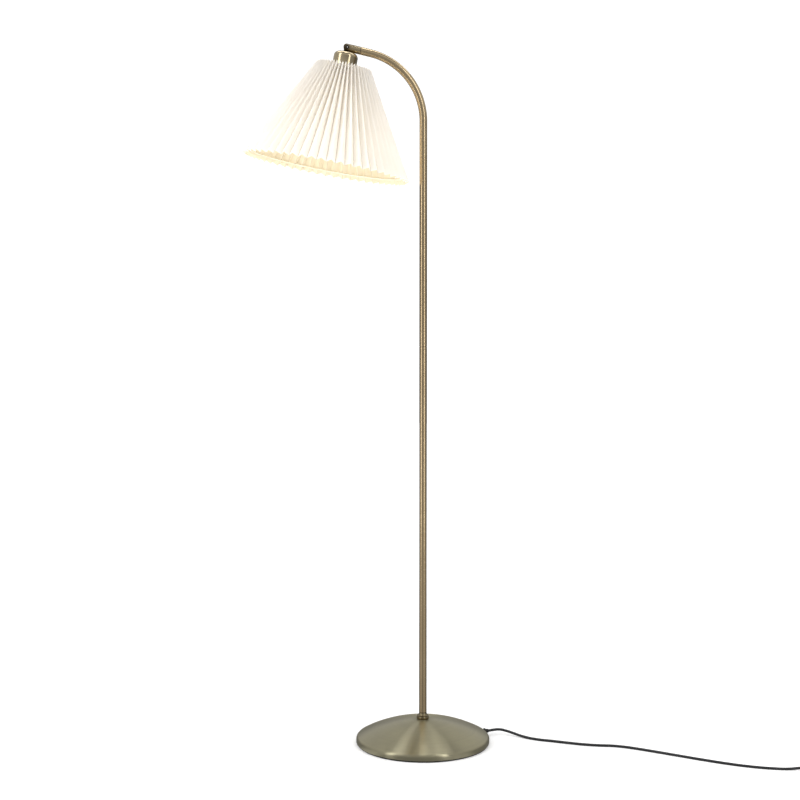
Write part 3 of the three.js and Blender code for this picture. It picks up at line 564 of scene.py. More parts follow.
def made_real(piece, crease=35):
    """Works the piece's modifiers into its mesh for good."""
    bpy.context.view_layer.update()
    result = bpy.data.meshes.new_from_object(piece.evaluated_get(bpy.context.evaluated_depsgraph_get()))
    piece.modifiers.clear()
    piece.data = result
    result.shade_smooth()
    result.set_sharp_from_angle(angle=math.radians(crease))
    return piece


def cut_by(piece, cutters, how="DIFFERENCE", crease=35):
    """Cuts or joins other closed pieces into this one for good, and removes them."""
    for cutter in cutters:
        modifier = piece.modifiers.new("cut", "BOOLEAN")
        modifier.operation = how
        modifier.solver = "EXACT"
        modifier.object = cutter
    made_real(piece, crease)
    for cutter in cutters:
        bpy.data.objects.remove(cutter)
    return piece


def rod(radius, low, high, sides=48, place=None):
    return turned("rod", [(0, low), (radius, low), (radius, high), (0, high)], sides, place=place)


lip_ease = [(base_radius - 0.0009, lip_bottom), (base_radius - 0.0002, lip_bottom + 0.0003)]
lip_side = [(base_radius, lip_bottom + 0.0011)]
cover_profile = lip_ease + lip_side + cover_outline(0) + cover_outline(COVER_WALL)[::-1]
cover_profile += [(base_radius - COVER_WALL, lip_bottom), lip_ease[0]]
base_cover = turned("base_cover_fine", cover_profile, 256, crease=50)
GLAND_HOLE = 0.0052
cut_by(base_cover, [rod(GLAND_HOLE, -0.012, 0.012, 40, gland_place)], crease=50)
dressed(base_cover, base_brass, "antique_brass", "stand", "base_cover")
print("base cover:", len(base_cover.data.polygons), "faces, radius", round(base_radius * 1000, 1), "mm")


# %% [markdown]
# Under the cover sits a rubber pad with a rounded edge and a shallow ring-shaped tread, so that the
# lamp stands on its outer band. The gland is soft rubber: a flange outside the lip, a snap barb inside
# it and a short ribbed tail that keeps the lead from bending sharply where it comes out.

# %% Rubber pad and lead gland
pad_high = corners_of("base_pad")[1]
pad_radius = pad_high.y
GROOVE_DEPTH = 0.0006
TREAD_RINGS = 9
TREAD_PITCH = 0.0118
tread = [(0, GROOVE_DEPTH)]
for ring in range(TREAD_RINGS):
    middle = 0.02 + ring * TREAD_PITCH
    tread += [(middle - 0.004, GROOVE_DEPTH), (middle - 0.0032, 0.0)]
    tread += [(middle + 0.0032, 0.0), (middle + 0.004, GROOVE_DEPTH)]
pad_edge = eased([(pad_radius - 0.012, GROOVE_DEPTH), (pad_radius - 0.011, 0.0), (pad_radius, 0.0),
                  (pad_radius, pad_high.z), (0.02, pad_high.z)], 0.0008)
base_pad = turned("base_pad_fine", tread + pad_edge + [(0, pad_high.z)], 160)
dressed(base_pad, black_rubber, "black_rubber", "stand", "base_pad")

GLAND_BORE = CORD_RADIUS + 0.0002
GLAND_NECK = 0.0049
GLAND_TIP = 0.0039
GLAND_BACK = -0.0076
BARB_RADIUS = 0.0056
BARB_STEP = -0.006
gland_profile = [(GLAND_BORE, GLAND_BACK), (GLAND_NECK, GLAND_BACK)]
gland_profile += [(BARB_RADIUS, BARB_STEP), (GLAND_NECK, BARB_STEP)]
FLANGE_RADIUS = 0.0066
flange_low = FLANGE_RADIUS * math.sin(GLAND_RISE) + 0.0003
flange_high = flange_low + 0.0016
gland_profile += [(GLAND_NECK, flange_low), (FLANGE_RADIUS, flange_low), (FLANGE_RADIUS, flange_high)]
gland_profile += [(GLAND_NECK + 0.0004, flange_high + 0.0006)]
RIBS = 3
RIB_PITCH = 0.0019
for rib in range(RIBS):
    near = 0.0035 + rib * RIB_PITCH
    far = near + 0.55 * RIB_PITCH
    swell = GLAND_NECK + (GLAND_TIP - GLAND_NECK) * rib / RIBS
    gland_profile += [(swell - 0.0006, near), (swell, near + 0.0002)]
    gland_profile += [(swell, far), (swell - 0.0006, far + 0.0002)]
gland_profile += [(GLAND_TIP, GLAND_END - 0.0008), (GLAND_TIP - 0.0003, GLAND_END)]
gland_profile += [(GLAND_BORE, GLAND_END), (GLAND_BORE, GLAND_BACK)]
gland = turned("cord_gland_fine", eased(gland_profile, 0.00025, 2), 48, place=gland_place)
dressed(gland, black_rubber, "black_rubber", "stand", "cord_gland")
print("pad radius", round(pad_radius * 1000, 1), "mm; gland with", RIBS, "ribs")


# %% [markdown]
# The stem stands on a turned collar and a small flared foot, and is three equal tubes screwed together
# over hidden couplers. Only a hairline shows at each seam. Each tube's ends are eased a quarter of a
# millimetre, which is what makes that hairline catch the light.

# %% Collar, foot and stem
TUBE_RADIUS = 0.008
TUBE_WALL = 0.0012
END_EASE = 0.00022
collar_low, collar_high = corners_of("stem_collar")
collar_radius = collar_high.x
collar_outline = [(STUD_HOLE, collar_low.z), (collar_radius, collar_low.z), (collar_radius, collar_high.z),
                  (STUD_HOLE, collar_high.z), (STUD_HOLE, collar_low.z)]
collar = turned("stem_collar_fine", eased(collar_outline, 0.0015, 6), 128)
dressed(collar, turned_brass, "antique_brass", "stand", "stem_collar")

foot_low, foot_high = corners_of("stem_foot")
foot_radius = foot_high.x
FOOT_LIP = 0.0012
FOOT_HEIGHT = 0.0075
SPIGOT_RADIUS = TUBE_RADIUS - TUBE_WALL - 0.0003
flare = []
for k in range(15):
    angle = math.pi / 2 * k / 14
    flare.append((foot_radius - (foot_radius - TUBE_RADIUS) * math.sin(angle),
                  foot_low.z + FOOT_HEIGHT - (FOOT_HEIGHT - FOOT_LIP) * math.cos(angle)))
foot_top = foot_low.z + FOOT_HEIGHT
foot_profile = [(STUD_HOLE, foot_low.z), (foot_radius - 0.0004, foot_low.z)]
foot_profile += [(foot_radius, foot_low.z + 0.0003)]
foot_profile += flare + [(SPIGOT_RADIUS, foot_top), (SPIGOT_RADIUS, foot_high.z), (STUD_HOLE, foot_high.z)]
foot = turned("stem_foot_fine", foot_profile + foot_profile[:1], 96)
dressed(foot, turned_brass, "antique_brass", "stand", "stem_foot")


def tube_section(low, high):
    """Outline of a tube's wall between two heights, its outer corners eased."""
    inner = TUBE_RADIUS - TUBE_WALL
    return [(inner, low), (TUBE_RADIUS - END_EASE, low), (TUBE_RADIUS, low + END_EASE),
            (TUBE_RADIUS, high - END_EASE), (TUBE_RADIUS - END_EASE, high), (inner, high), (inner, low)]


for level in ("lower", "middle", "upper"):
    low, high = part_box("stem_" + level)
    section = turned("stem_" + level + "_fine", tube_section(low[2], high[2]), 96)
    dressed(section, stem_brass, "antique_brass", "stand", "stem_" + level)
stem_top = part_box("stem_upper")[1][2] + 0.0003
print("stem seams up to", round(stem_top, 3), "m")


# %% [markdown]
# Above the top seam one more tube runs straight, bends over through a little more than 76 degrees and
# rises gently to the knuckle. Bending keeps the tube round, so a ring of points is carried along the
# bend's centreline and stays square to it. The rings lie close together only where the tube curves.

# %% Arc tube
ARC_RADIUS = 0.142
ARC_BEND = math.radians(76.5)
ARM_RISE = math.pi / 2 - ARC_BEND
ARM_LENGTH = 0.048
SLEEVE_LENGTH = 0.028
pivot = Vector(joints["head_tilt"]["pos_m"])
arm_along = Vector((-math.cos(ARM_RISE), 0, math.sin(ARM_RISE)))
bend_end = pivot - arm_along * ARM_LENGTH
arc_start = bend_end.z - ARC_RADIUS * math.sin(ARC_BEND)


def arc_station(turn):
    """Centre and heading of the arc tube after it has turned through an angle."""
    centre = Vector((-ARC_RADIUS * (1 - math.cos(turn)), 0, arc_start + ARC_RADIUS * math.sin(turn)))
    return centre, Vector((-math.sin(turn), 0, math.cos(turn)))


def carried_ring(centre, heading, radius, sides=96):
    across = heading.cross(Vector((0, 1, 0)))
    return [centre + across * x + Vector((0, 1, 0)) * y for x, y, _ in circle(radius, sides)]


tube_end = bend_end + arm_along * (ARM_LENGTH - SLEEVE_LENGTH - 0.0003)
straight_up = Vector((0, 0, 1))
stations = [(Vector((0, 0, stem_top)), straight_up), (Vector((0, 0, stem_top + END_EASE)), straight_up)]
stations += [arc_station(ARC_BEND * k / 64) for k in range(65)]
stations += [(tube_end - arm_along * END_EASE, arm_along), (tube_end, arm_along)]
outer_radii = [TUBE_RADIUS - END_EASE] + [TUBE_RADIUS] * (len(stations) - 2) + [TUBE_RADIUS - END_EASE]
arc_rings = [carried_ring(*station, radius) for station, radius in zip(stations, outer_radii)]
arc_rings += [carried_ring(*station, TUBE_RADIUS - TUBE_WALL) for station in stations[::-1]]
arc_tube = looped("arc_tube_fine", arc_rings)
arc_brass = drawn_brass("bent antique brass", (0.64, 0.50, 0.305, 1), (0.56, 0.435, 0.26, 1),
                        (30, 300, 30), (0.17, 0.21))
dressed(arc_tube, arc_brass, "antique_brass", "stand", "arc_tube")
short_of_pivot = (pivot - tube_end).length * 1000
print("arc tube:", len(stations), "stations, ends", round(short_of_pivot, 1), "mm short of the pivot")


# %% [markdown]
# The knuckle is a fork: a short turned sleeve on the end of the arm, rounded at its tip and slotted
# lengthways. It is made the way it is machined. A round bar is crossed with a slab whose end is a half
# circle, then the slot, the bores and the screw's seat are cut away, and a fine bevel breaks every
# edge. Its tip is painted darker, as painted shade from the open slot, and its seam is darker, as a joint
# is.

# %% Knuckle sleeve
SLOT_HALF = 0.003
SLOT_DEPTH = 0.0085
PIN_BORE = 0.0023
WIRE_BORE = 0.0033
HEAD_SEAT = 0.0038
NUT_SEAT = 0.0044
arm_place = Matrix.Translation(pivot) @ Matrix.Rotation(ARM_RISE, 4, "Y")
ALONG_X = Matrix.Rotation(math.pi / 2, 4, "Y")
ALONG_Y = Matrix.Rotation(-math.pi / 2, 4, "X")


def block(low, high, place):
    outline = ((low[0], low[1]), (high[0], low[1]), (high[0], high[1]), (low[0], high[1]))
    return lofted("block", [[(x, y, z) for x, y in outline] for z in (low[2], high[2])], place=place)


def slab(name, outline, half, place, crease=35):
    """A flat plate of (x, z) outline, `half` thick each side of the pivot's plane."""
    return lofted(name, [[(x, y, z) for x, z in outline] for y in (-half, half)], crease, place)


def broken_edges(piece, width, segments=2, angle=38):
    modifier = piece.modifiers.new("bevel", "BEVEL")
    modifier.width = width
    modifier.segments = segments
    modifier.limit_method = "ANGLE"
    modifier.angle_limit = math.radians(angle)
    modifier.use_clamp_overlap = True
    return made_real(piece, 50)


stadium = arc_points((0, 0), TUBE_RADIUS, math.pi / 2, 3 * math.pi / 2, 40)
stadium += [(SLEEVE_LENGTH, -TUBE_RADIUS), (SLEEVE_LENGTH, TUBE_RADIUS)]
bar = rod(TUBE_RADIUS * 0.99999, -0.009, SLEEVE_LENGTH + 0.001, 96, arm_place @ ALONG_X)
sleeve = slab("knuckle_sleeve_fine", stadium, 0.009, arm_place)
cut_by(sleeve, [bar], "INTERSECT")
sleeve_cutters = [
    block((-0.010, -SLOT_HALF, -0.010), (SLOT_DEPTH, SLOT_HALF, 0.010), arm_place),
    rod(WIRE_BORE, SLOT_DEPTH - 0.001, 0.015, 40, arm_place @ ALONG_X),
    rod(STUD_HOLE, 0.014, SLEEVE_LENGTH + 0.002, 48, arm_place @ ALONG_X),
    rod(PIN_BORE, -0.010, 0.010, 40, arm_place @ ALONG_Y),
    rod(HEAD_SEAT, -0.010, -0.0064, 48, arm_place @ ALONG_Y),
    rod(NUT_SEAT, 0.0058, 0.010, 6, arm_place @ ALONG_Y),
]
cut_by(sleeve, sleeve_cutters)
broken_edges(sleeve, 0.00025)
knuckle_brass = drawn_brass("knuckle brass", (0.56, 0.455, 0.285, 1), (0.48, 0.385, 0.235, 1),
                            (900, 60, 60), (0.16, 0.26))
knuckle_tree = knuckle_brass.node_tree
from_pivot = wire_up(knuckle_tree, "SeparateXYZ", {0: on_piece(knuckle_tree)}).outputs["X"]
# Painted shade: the rounded tip is painted darker for the shade of the open slot; the seam gets a dark joint
# line.
tip_painted_shade = spread(knuckle_tree, from_pivot, 1, 0, -0.001, 0.009)
at_seam = spread(knuckle_tree, from_pivot, 0, 0.8, SLEEVE_LENGTH - 0.0014, SLEEVE_LENGTH - 0.0006)
tinted(knuckle_brass, maths(knuckle_tree, "MAXIMUM", tip_painted_shade, at_seam), (0.13, 0.10, 0.06, 1))
dressed(sleeve, knuckle_brass, "antique_brass", "stand", "knuckle_sleeve")
print("knuckle sleeve:", len(sleeve.data.polygons), "faces")


# %% [markdown]
# A slotted screw crosses the fork and carries the tongue of the swinging head. Its head is very
# slightly domed and sits flush in the sleeve's side. The tongue is a flat plate with a round end that
# fills the slot between two thin washers, and ends below in a threaded nipple that holds the cup.

# %% Knuckle screw and tongue
head_tilt = math.radians(10.5)
head_place = Matrix.Translation(pivot) @ Matrix.Rotation(head_tilt, 4, "Y")
SCREW_HEAD = 0.0035
PIN_RADIUS = 0.002
screw_outline = [(0, -0.0079)] + arc_points((SCREW_HEAD - 0.0004, -0.0074), 0.0004, -math.pi / 2, 0, 4)
screw_outline += [(SCREW_HEAD, -0.0067), (PIN_RADIUS, -0.0067)]
screw_outline += [(PIN_RADIUS, 0.0071), (PIN_RADIUS - 0.0003, 0.0074)]
screw = turned("knuckle_screw_fine", screw_outline + [(0, 0.0074)], 64, place=arm_place @ ALONG_Y)
cut_by(screw, [block((-0.0045, -0.009, -0.0005), (0.0045, -0.0071, 0.0005), arm_place)])
screw_steel = plated_steel()
screw_steel.name = "blackened screw"
screw_tree = screw_steel.node_tree
# The head is blackened, with a near-white spot painted in its middle: a painted highlight.
blackened_outside_painted_glint = spread(screw_tree, off_axis(screw_tree), 0, 1, 0.0009, 0.0014)
blackened_with_painted_glint = blend_colours(screw_tree, blackened_outside_painted_glint, (0.95, 0.93, 0.88, 1), (0.05, 0.045, 0.04, 1))
screw_tree.links.new(blackened_with_painted_glint, screw_tree.nodes["Principled BSDF"].inputs["Base Color"])
dressed(screw, screw_steel, "zinc_steel", "stand", "knuckle_screw")

TONGUE_HALF = 0.0017
TONGUE_RADIUS = 0.0074
CUP_TOP = 0.010
NIPPLE_END = 0.024
neck_half, shoulder = TONGUE_RADIUS - 0.0009, CUP_TOP - 0.0008
tongue_outline = arc_points((0, 0), TONGUE_RADIUS, 0, math.pi, 40)
tongue_outline += [(-neck_half, -shoulder), (neck_half, -shoulder)]
tongue = slab("knuckle_tongue_fine", tongue_outline, TONGUE_HALF, head_place)
cut_by(tongue, [rod(0.0047, -NIPPLE_END, -shoulder + 0.001, 64, head_place)], "UNION")
cut_by(tongue, [rod(PIN_BORE, -0.004, 0.004, 40, head_place @ ALONG_Y),
                rod(0.0028, -NIPPLE_END - 0.001, -CUP_TOP, 32, head_place)])
broken_edges(tongue, 0.0002)
# Painted shade: the tongue is dressed in brass painted dark for the shade in the slot.
dressed(tongue, slot_shaded_brass, "bright_brass", "head", "knuckle_tongue")
print("pivot at", tuple(round(v * 1000, 1) for v in pivot), "mm")


# %% [markdown]
# The cup hides the lampholder. It is a deep drawn cap: flat on top, rounded at the shoulder and
# straight down to an open mouth whose rim is rolled over a little. Distances along the head are
# measured down from the pivot, and `hung` flips an outline that is written that way.

# %% Cup
CUP_RADIUS = 0.025
CUP_BOTTOM = 0.062
CUP_WALL = 0.0012
CUP_ROUND = 0.0095
shoulder_middle = (CUP_RADIUS - CUP_ROUND, CUP_TOP + CUP_ROUND)


def hung(name, outline, sides=96, crease=35):
    return turned(name, [(radius, -down) for radius, down in outline], sides, crease, head_place)


cup_outline = [(STUD_HOLE, CUP_TOP)] + arc_points(shoulder_middle, CUP_ROUND, -math.pi / 2, 0, 20)
cup_outline += [(CUP_RADIUS, CUP_BOTTOM - 0.0012), (CUP_RADIUS + 0.0003, CUP_BOTTOM - 0.0007)]
cup_outline += [(CUP_RADIUS + 0.0001, CUP_BOTTOM - 0.0001), (CUP_RADIUS - 0.0006, CUP_BOTTOM)]
cup_outline += [(CUP_RADIUS - CUP_WALL, CUP_BOTTOM - 0.0004)]
cup_outline += arc_points(shoulder_middle, CUP_ROUND - CUP_WALL, 0, -math.pi / 2, 20)
cup_outline += [(STUD_HOLE, CUP_TOP + CUP_WALL), (STUD_HOLE, CUP_TOP)]
cup = hung("cup_fine", cup_outline, 128)
cup_brass = drawn_brass("lacquered antique brass", (0.60, 0.50, 0.33, 1), (0.52, 0.43, 0.275, 1),
                        ACROSS_Z, (0.12, 0.2))
dressed(cup, cup_brass, "antique_brass", "head", "cup")
print("cup:", round(2000 * CUP_RADIUS), "mm across,", round(1000 * (CUP_BOTTOM - CUP_TOP)), "mm deep")


# %% [markdown]
# Inside the cup hangs a common screw-in lampholder. Its body carries a coarse thread outside, which
# two ring nuts run on to clamp the shade's fitting plate. A thread is a helix, so the wall's radius is
# worked out from height and angle together. The nuts are notched round their edge for the fingers.

# %% Lampholder body and ring nuts
def screw_wave(turn, down, pitch):
    """0 in a thread's root to 1 on its crest, with rounded flats on both."""
    phase = (down / pitch - turn) % 1.0
    return 0.5 + 0.5 * math.tanh(2.2 * math.cos(2 * math.pi * phase)) / math.tanh(2.2)


def shaped_wall(name, outer, inner, top, bottom, rows, sides, place=head_place, crease=40):
    """A tube whose outer and inner radii are functions of the turn (0 to 1) and the depth."""
    depths = steps_between(top, bottom, rows)
    rings = []
    for radius, levels in ((outer, depths), (inner, depths[::-1])):
        for down in levels:
            ring = circle(1.0, sides, -down)
            turns = [k / sides for k in range(sides)]
            radii = [radius(turn, down) for turn in turns]
            rings.append([(x * r, y * r, z) for (x, y, z), r in zip(ring, radii)])
    return looped(name, rings, crease, place)


HOLDER_RADIUS = 0.0195
HOLDER_BORE = 0.0144
HOLDER_TOP = 0.0273
HOLDER_BOTTOM = 0.078
THREAD_TOP = 0.050
THREAD_DEPTH = 0.0009
THREAD_PITCH = 0.0031


def holder_outside(turn, down):
    fade = min(1.0, max(0.0, (down - THREAD_TOP) / 0.002), max(0.0, (HOLDER_BOTTOM - 0.001 - down) / 0.002))
    edge = 0.0008 * max(0.0, 1 - (HOLDER_BOTTOM - down) / 0.0008)
    return HOLDER_RADIUS - THREAD_DEPTH * fade * (1 - screw_wave(turn, down, THREAD_PITCH)) - edge


holder = shaped_wall("lampholder_body_fine", holder_outside, lambda turn, down: HOLDER_BORE,
                     HOLDER_TOP, HOLDER_BOTTOM, 150, 72)
dressed(holder, white_plastic, "white_plastic", "head", "lampholder_body")

NUT_RADIUS = 0.029
NUT_HEIGHT = 0.0035
FITTER_THICKNESS = 0.0015
PIECE_GAP = 0.0003
upper_nut_top = CUP_BOTTOM + PIECE_GAP
fitter_top = upper_nut_top + NUT_HEIGHT + PIECE_GAP
lower_nut_top = fitter_top + FITTER_THICKNESS + PIECE_GAP
NOTCHES = 36


def ring_nut(name, top, node):
    def notched(turn, down):
        edge = min(down - top, top + NUT_HEIGHT - down)
        ease = 0.0006 * max(0.0, 1 - edge / 0.0006) ** 2
        return NUT_RADIUS - 0.0007 * (0.5 - 0.5 * math.cos(2 * math.pi * NOTCHES * turn)) ** 3 - ease
    nut = shaped_wall(name, notched, lambda turn, down: HOLDER_RADIUS + PIECE_GAP,
                      top, top + NUT_HEIGHT, 12, 216)
    return dressed(nut, white_plastic, "white_plastic", "head", node)


ring_nut("shade_ring_upper_fine", upper_nut_top, "shade_ring_upper")
ring_nut("shade_ring_lower_fine", lower_nut_top, "shade_ring_lower")
print("lampholder thread:", round((HOLDER_BOTTOM - THREAD_TOP) / THREAD_PITCH, 1), "turns")


# %% [markdown]
# The bulb's metal cap has a round rolled thread, which the same wave gives. The glass is a thin shell
# with an inner wall, swelling from a narrow neck into a ball.

# %% Bulb
CAP_RADIUS = 0.0131
CAP_BOTTOM = 0.073
BULB_RADIUS = 0.030
BULB_CENTRE = 0.124
BULB_NECK = 0.0125
BULB_WALL = 0.001
BULB_TIP = 0.0457
CAP_SHOULDER = BULB_TIP + 0.0055


def cap_outside(turn, down):
    wave = 0.5 + 0.5 * math.cos(2 * math.pi * (down / 0.0036 - turn))
    fade = min(1.0, max(0.0, (down - CAP_SHOULDER) / 0.002), max(0.0, (CAP_BOTTOM - 0.002 - down) / 0.002))
    return CAP_RADIUS - 0.0009 * fade * (1 - wave)


depths = steps_between(CAP_SHOULDER, CAP_BOTTOM - 0.0005, 90)
CAP_SIDES = 64
contact_outline = [(0.0028, BULB_TIP), (0.004, BULB_TIP + 0.0003), (0.0046, BULB_TIP + 0.0011),
                   (CAP_RADIUS - 0.0024, BULB_TIP + 0.0038), (CAP_RADIUS - 0.0006, BULB_TIP + 0.0050)]
cap_rings = [circle(radius, CAP_SIDES, -down) for radius, down in contact_outline]
for down in depths:
    radii = [cap_outside(k / CAP_SIDES, down) for k in range(CAP_SIDES)]
    cap_rings.append([(x * r, y * r, z) for (x, y, z), r in zip(circle(1.0, CAP_SIDES, -down), radii)])
cap_rings.append(circle(BULB_NECK, CAP_SIDES, -CAP_BOTTOM))
bulb_cap = lofted("bulb_cap_fine", cap_rings, 40, head_place)
dressed(bulb_cap, steel, "zinc_steel", "head", "bulb_cap")


def glass_wall(inset):
    ball = arc_points((0, BULB_CENTRE), BULB_RADIUS - inset, math.pi / 2, -math.radians(38), 48)
    last, neck_top = ball[-1], CAP_BOTTOM + PIECE_GAP
    reach, neck = last[1] - neck_top, BULB_NECK - inset
    slope = math.tan(math.radians(38))
    neck_curve = []
    for k in range(1, 21):
        t = k / 20
        start, lead_out = np.array(last), np.array((last[0] - 0.42 * reach * slope, last[1] - 0.42 * reach))
        lead_in, end = np.array((neck, neck_top + 0.45 * reach)), np.array((neck, neck_top))
        point = (1 - t) ** 3 * start + 3 * t * (1 - t) ** 2 * lead_out
        point += 3 * t * t * (1 - t) * lead_in + t ** 3 * end
        neck_curve.append((float(point[0]), float(point[1])))
    return [(0.0, ball[0][1])] + ball[1:] + neck_curve


bulb = hung("bulb_glass_fine", glass_wall(0) + glass_wall(BULB_WALL)[::-1], 96, 60)
dressed(bulb, opal, "frosted_glass", "head", "bulb_glass")
print("bulb: ball", round(2000 * BULB_RADIUS), "mm across")


# %% [markdown]
# The shade hangs on three wire arms that run from the fitting plate up to a wire hoop, and a second
# hoop holds its mouth round. A hoop is a small circle turned about the head's axis. An arm is a curve
# with a round bevel, because the real one is simply a bent wire, welded at both ends.

# %% Wire frame of the shade
SHADE_TOP = 0.0375
SHADE_BOTTOM = 0.2463
SHADE_TOP_RADIUS = 0.0565
SHADE_BOTTOM_RADIUS = 0.174
PLEAT_TOP = 0.011
PLEAT_BOTTOM = 0.007
WIRE_RADIUS = 0.0015
WIRE_INSET = 0.0065


def down_the_shade(down, top, bottom):
    return top + (bottom - top) * (down - SHADE_TOP) / (SHADE_BOTTOM - SHADE_TOP)


def hoop_radius(down):
    above = down - WIRE_RADIUS
    outside = down_the_shade(above, SHADE_TOP_RADIUS, SHADE_BOTTOM_RADIUS)
    return outside - down_the_shade(above, PLEAT_TOP, PLEAT_BOTTOM) - WIRE_RADIUS - PIECE_GAP


def wire_hoop(name, down, node, enamel=white_enamel):
    section = arc_points((hoop_radius(down), down), WIRE_RADIUS, 0, 2 * math.pi, 14)
    hoop = hung(name, section[:-1] + section[:1], 160, 80)
    return dressed(hoop, enamel, "white_wire", "head", node)


wire_hoop("shade_top_hoop", SHADE_TOP + WIRE_INSET, "shade_spider")
wire_hoop("shade_bottom_hoop", SHADE_BOTTOM - WIRE_INSET, "shade_bottom_ring", cream_enamel)

PLATE_RADIUS = 0.032
plate_bore = HOLDER_RADIUS + PIECE_GAP
plate_bottom = fitter_top + FITTER_THICKNESS
plate_outline = [(plate_bore, fitter_top), (PLATE_RADIUS, fitter_top), (PLATE_RADIUS, plate_bottom),
                 (plate_bore, plate_bottom), (plate_bore, fitter_top)]
plate = hung("shade_fitting_plate", eased(plate_outline, 0.0003), 96)
dressed(plate, white_enamel, "white_wire", "head", "shade_spider")

plate_middle = fitter_top + FITTER_THICKNESS / 2
top_hoop = hoop_radius(SHADE_TOP + WIRE_INSET)
arm_start = NUT_RADIUS + 0.0025
arm_bends = [(arm_start, plate_middle), (arm_start + 0.6 * (top_hoop - arm_start), plate_middle - 0.002),
             (top_hoop - 0.001, plate_middle - 0.010), (top_hoop, SHADE_TOP + WIRE_INSET)]
for k in range(3):
    turn = 2 * math.pi * (k + 0.25) / 3
    path = [head_place @ Vector((r * math.cos(turn), r * math.sin(turn), -down)) for r, down in arm_bends]
    arm = bezier("shade_arm_" + str(k + 1), path, WIRE_RADIUS - 0.0001, 12)
    dressed(arm, white_enamel, "white_wire", "head", "shade_spider")
bottom_hoop = hoop_radius(SHADE_BOTTOM - WIRE_INSET)
print("hoops of radius", round(top_hoop * 1000, 1), "and", round(bottom_hoop * 1000, 1), "mm")


# %% [markdown]
# The shade is one long strip of pale linen-like cloth, pressed into 56 sharp pleats and sewn shut into
# a cone. Every fold line has the same length, since all run the full width of the strip. Gathering the
# strip into a cone slides each inner fold down past its neighbours, which gives the row of teeth round
# the top and the small scallops round the mouth. One pleat is a rounded triangle wave, and small
# seeded shifts keep the folds from looking stamped. Cloth simulation was not used, because pressed
# pleats are stiff and keep their folds.

# %% Pleats
PLEATS = 56
POINTS_PER_PLEAT = 14
ROWS_DOWN = 30
FOLD_SHARPNESS = 0.996
CLOTH = 0.00045
fold_length = math.hypot(SHADE_BOTTOM - SHADE_TOP, SHADE_BOTTOM_RADIUS - SHADE_TOP_RADIUS)
inner_top, inner_bottom = SHADE_TOP_RADIUS - PLEAT_TOP, SHADE_BOTTOM_RADIUS - PLEAT_BOTTOM
inner_fall = math.sqrt(fold_length ** 2 - (inner_bottom - inner_top) ** 2)
TOOTH = 0.0075
chance = random.Random(56)
fold_shift = [chance.uniform(-1, 1) for _ in range(2 * PLEATS)]
fold_bow = [chance.uniform(-1, 1) for _ in range(2 * PLEATS)]
fold_depth = [chance.uniform(0, 1) for _ in range(2 * PLEATS)]


def between_folds(values, position):
    first = int(math.floor(position)) % len(values)
    share = position - math.floor(position)
    return values[first] * (1 - share) + values[(first + 1) % len(values)] * share


def outwardness(s):
    """1 on an outer fold, 0 on an inner one, with a small round at each."""
    return 0.5 + 0.5 * math.asin(FOLD_SHARPNESS * math.cos(2 * math.pi * s)) / math.asin(FOLD_SHARPNESS)


def pleat_point(column, fall):
    position = column / POINTS_PER_PLEAT
    out = outwardness(position % 1.0)
    loose = math.sin(math.pi * fall)
    shift = 0.018 * between_folds(fold_shift, 2 * position)
    shift += 0.035 * loose * between_folds(fold_bow, 2 * position)
    turn = 2 * math.pi * (position + shift) / PLEATS
    outer = SHADE_TOP_RADIUS + (SHADE_BOTTOM_RADIUS - SHADE_TOP_RADIUS) * fall
    outer -= 0.0009 * between_folds(fold_depth, 2 * position) * (0.35 + 0.65 * loose)
    inner = inner_top + (inner_bottom - inner_top) * fall
    radius = inner + (outer - inner) * out
    outer_down = SHADE_TOP + (SHADE_BOTTOM - SHADE_TOP) * fall
    inner_down = SHADE_TOP + TOOTH + inner_fall * fall
    down = inner_down + (outer_down - inner_down) * out
    return radius * math.cos(turn), radius * math.sin(turn), -down


print("pleats:", PLEATS, "with fold lines", round(fold_length * 1000, 1), "mm long")

# %% Pleated cloth
columns = PLEATS * POINTS_PER_PLEAT
falls = steps_between(0.0, 1.0, ROWS_DOWN)
cloth_points = [pleat_point(column, fall) for fall in falls for column in range(columns)]
cloth_rows = [list(range(k * columns, (k + 1) * columns)) for k in range(ROWS_DOWN)]
shade = finished_mesh("shade_pleated", cloth_points, skin(cloth_rows), 70, head_place)
inner_fold = POINTS_PER_PLEAT // 2
face_widths = [math.dist(pleat_point(0, fall), pleat_point(inner_fold, fall)) for fall in (0, 0.5, 1)]
strip_length = 2 * PLEATS * sum(face_widths) / len(face_widths)
weave_map = shade.data.uv_layers.new(name="strip")
for polygon in shade.data.polygons:
    places = [(shade.data.loops[i].vertex_index % columns, shade.data.loops[i].vertex_index // columns)
              for i in polygon.loop_indices]
    wraps = max(c for c, _ in places) - min(c for c, _ in places) > columns // 2
    for i, (column, row) in zip(polygon.loop_indices, places):
        column = columns if wraps and column == 0 else column
        weave_map.data[i].uv = (strip_length * column / columns, fold_length * falls[row])
print("strip:", round(fold_length * 1000, 1), "by", round(strip_length * 1000), "mm;",
      "inner folds start", round(TOOTH * 1000, 1), "mm lower")


# %% [markdown]
# The cloth lets some light through, so its shader mixes a matt surface with a translucent one. A
# plain weave of warp and weft comes from two sets of bands that run along and across the strip, with
# thicker threads here and there. Each inner fold gets painted shade, a little darker, less so near the
# top. The inside is a warmer cream.

# %% Linen and its backing
THREAD = 0.00055
BANDS_AT_SCALE_ONE = 0.314                       # spacing of a wave texture's bands at scale 1, in metres
# Colour of the painted shade along the inner folds.
CREASE_SHADE = (0.42, 0.37, 0.29, 1)


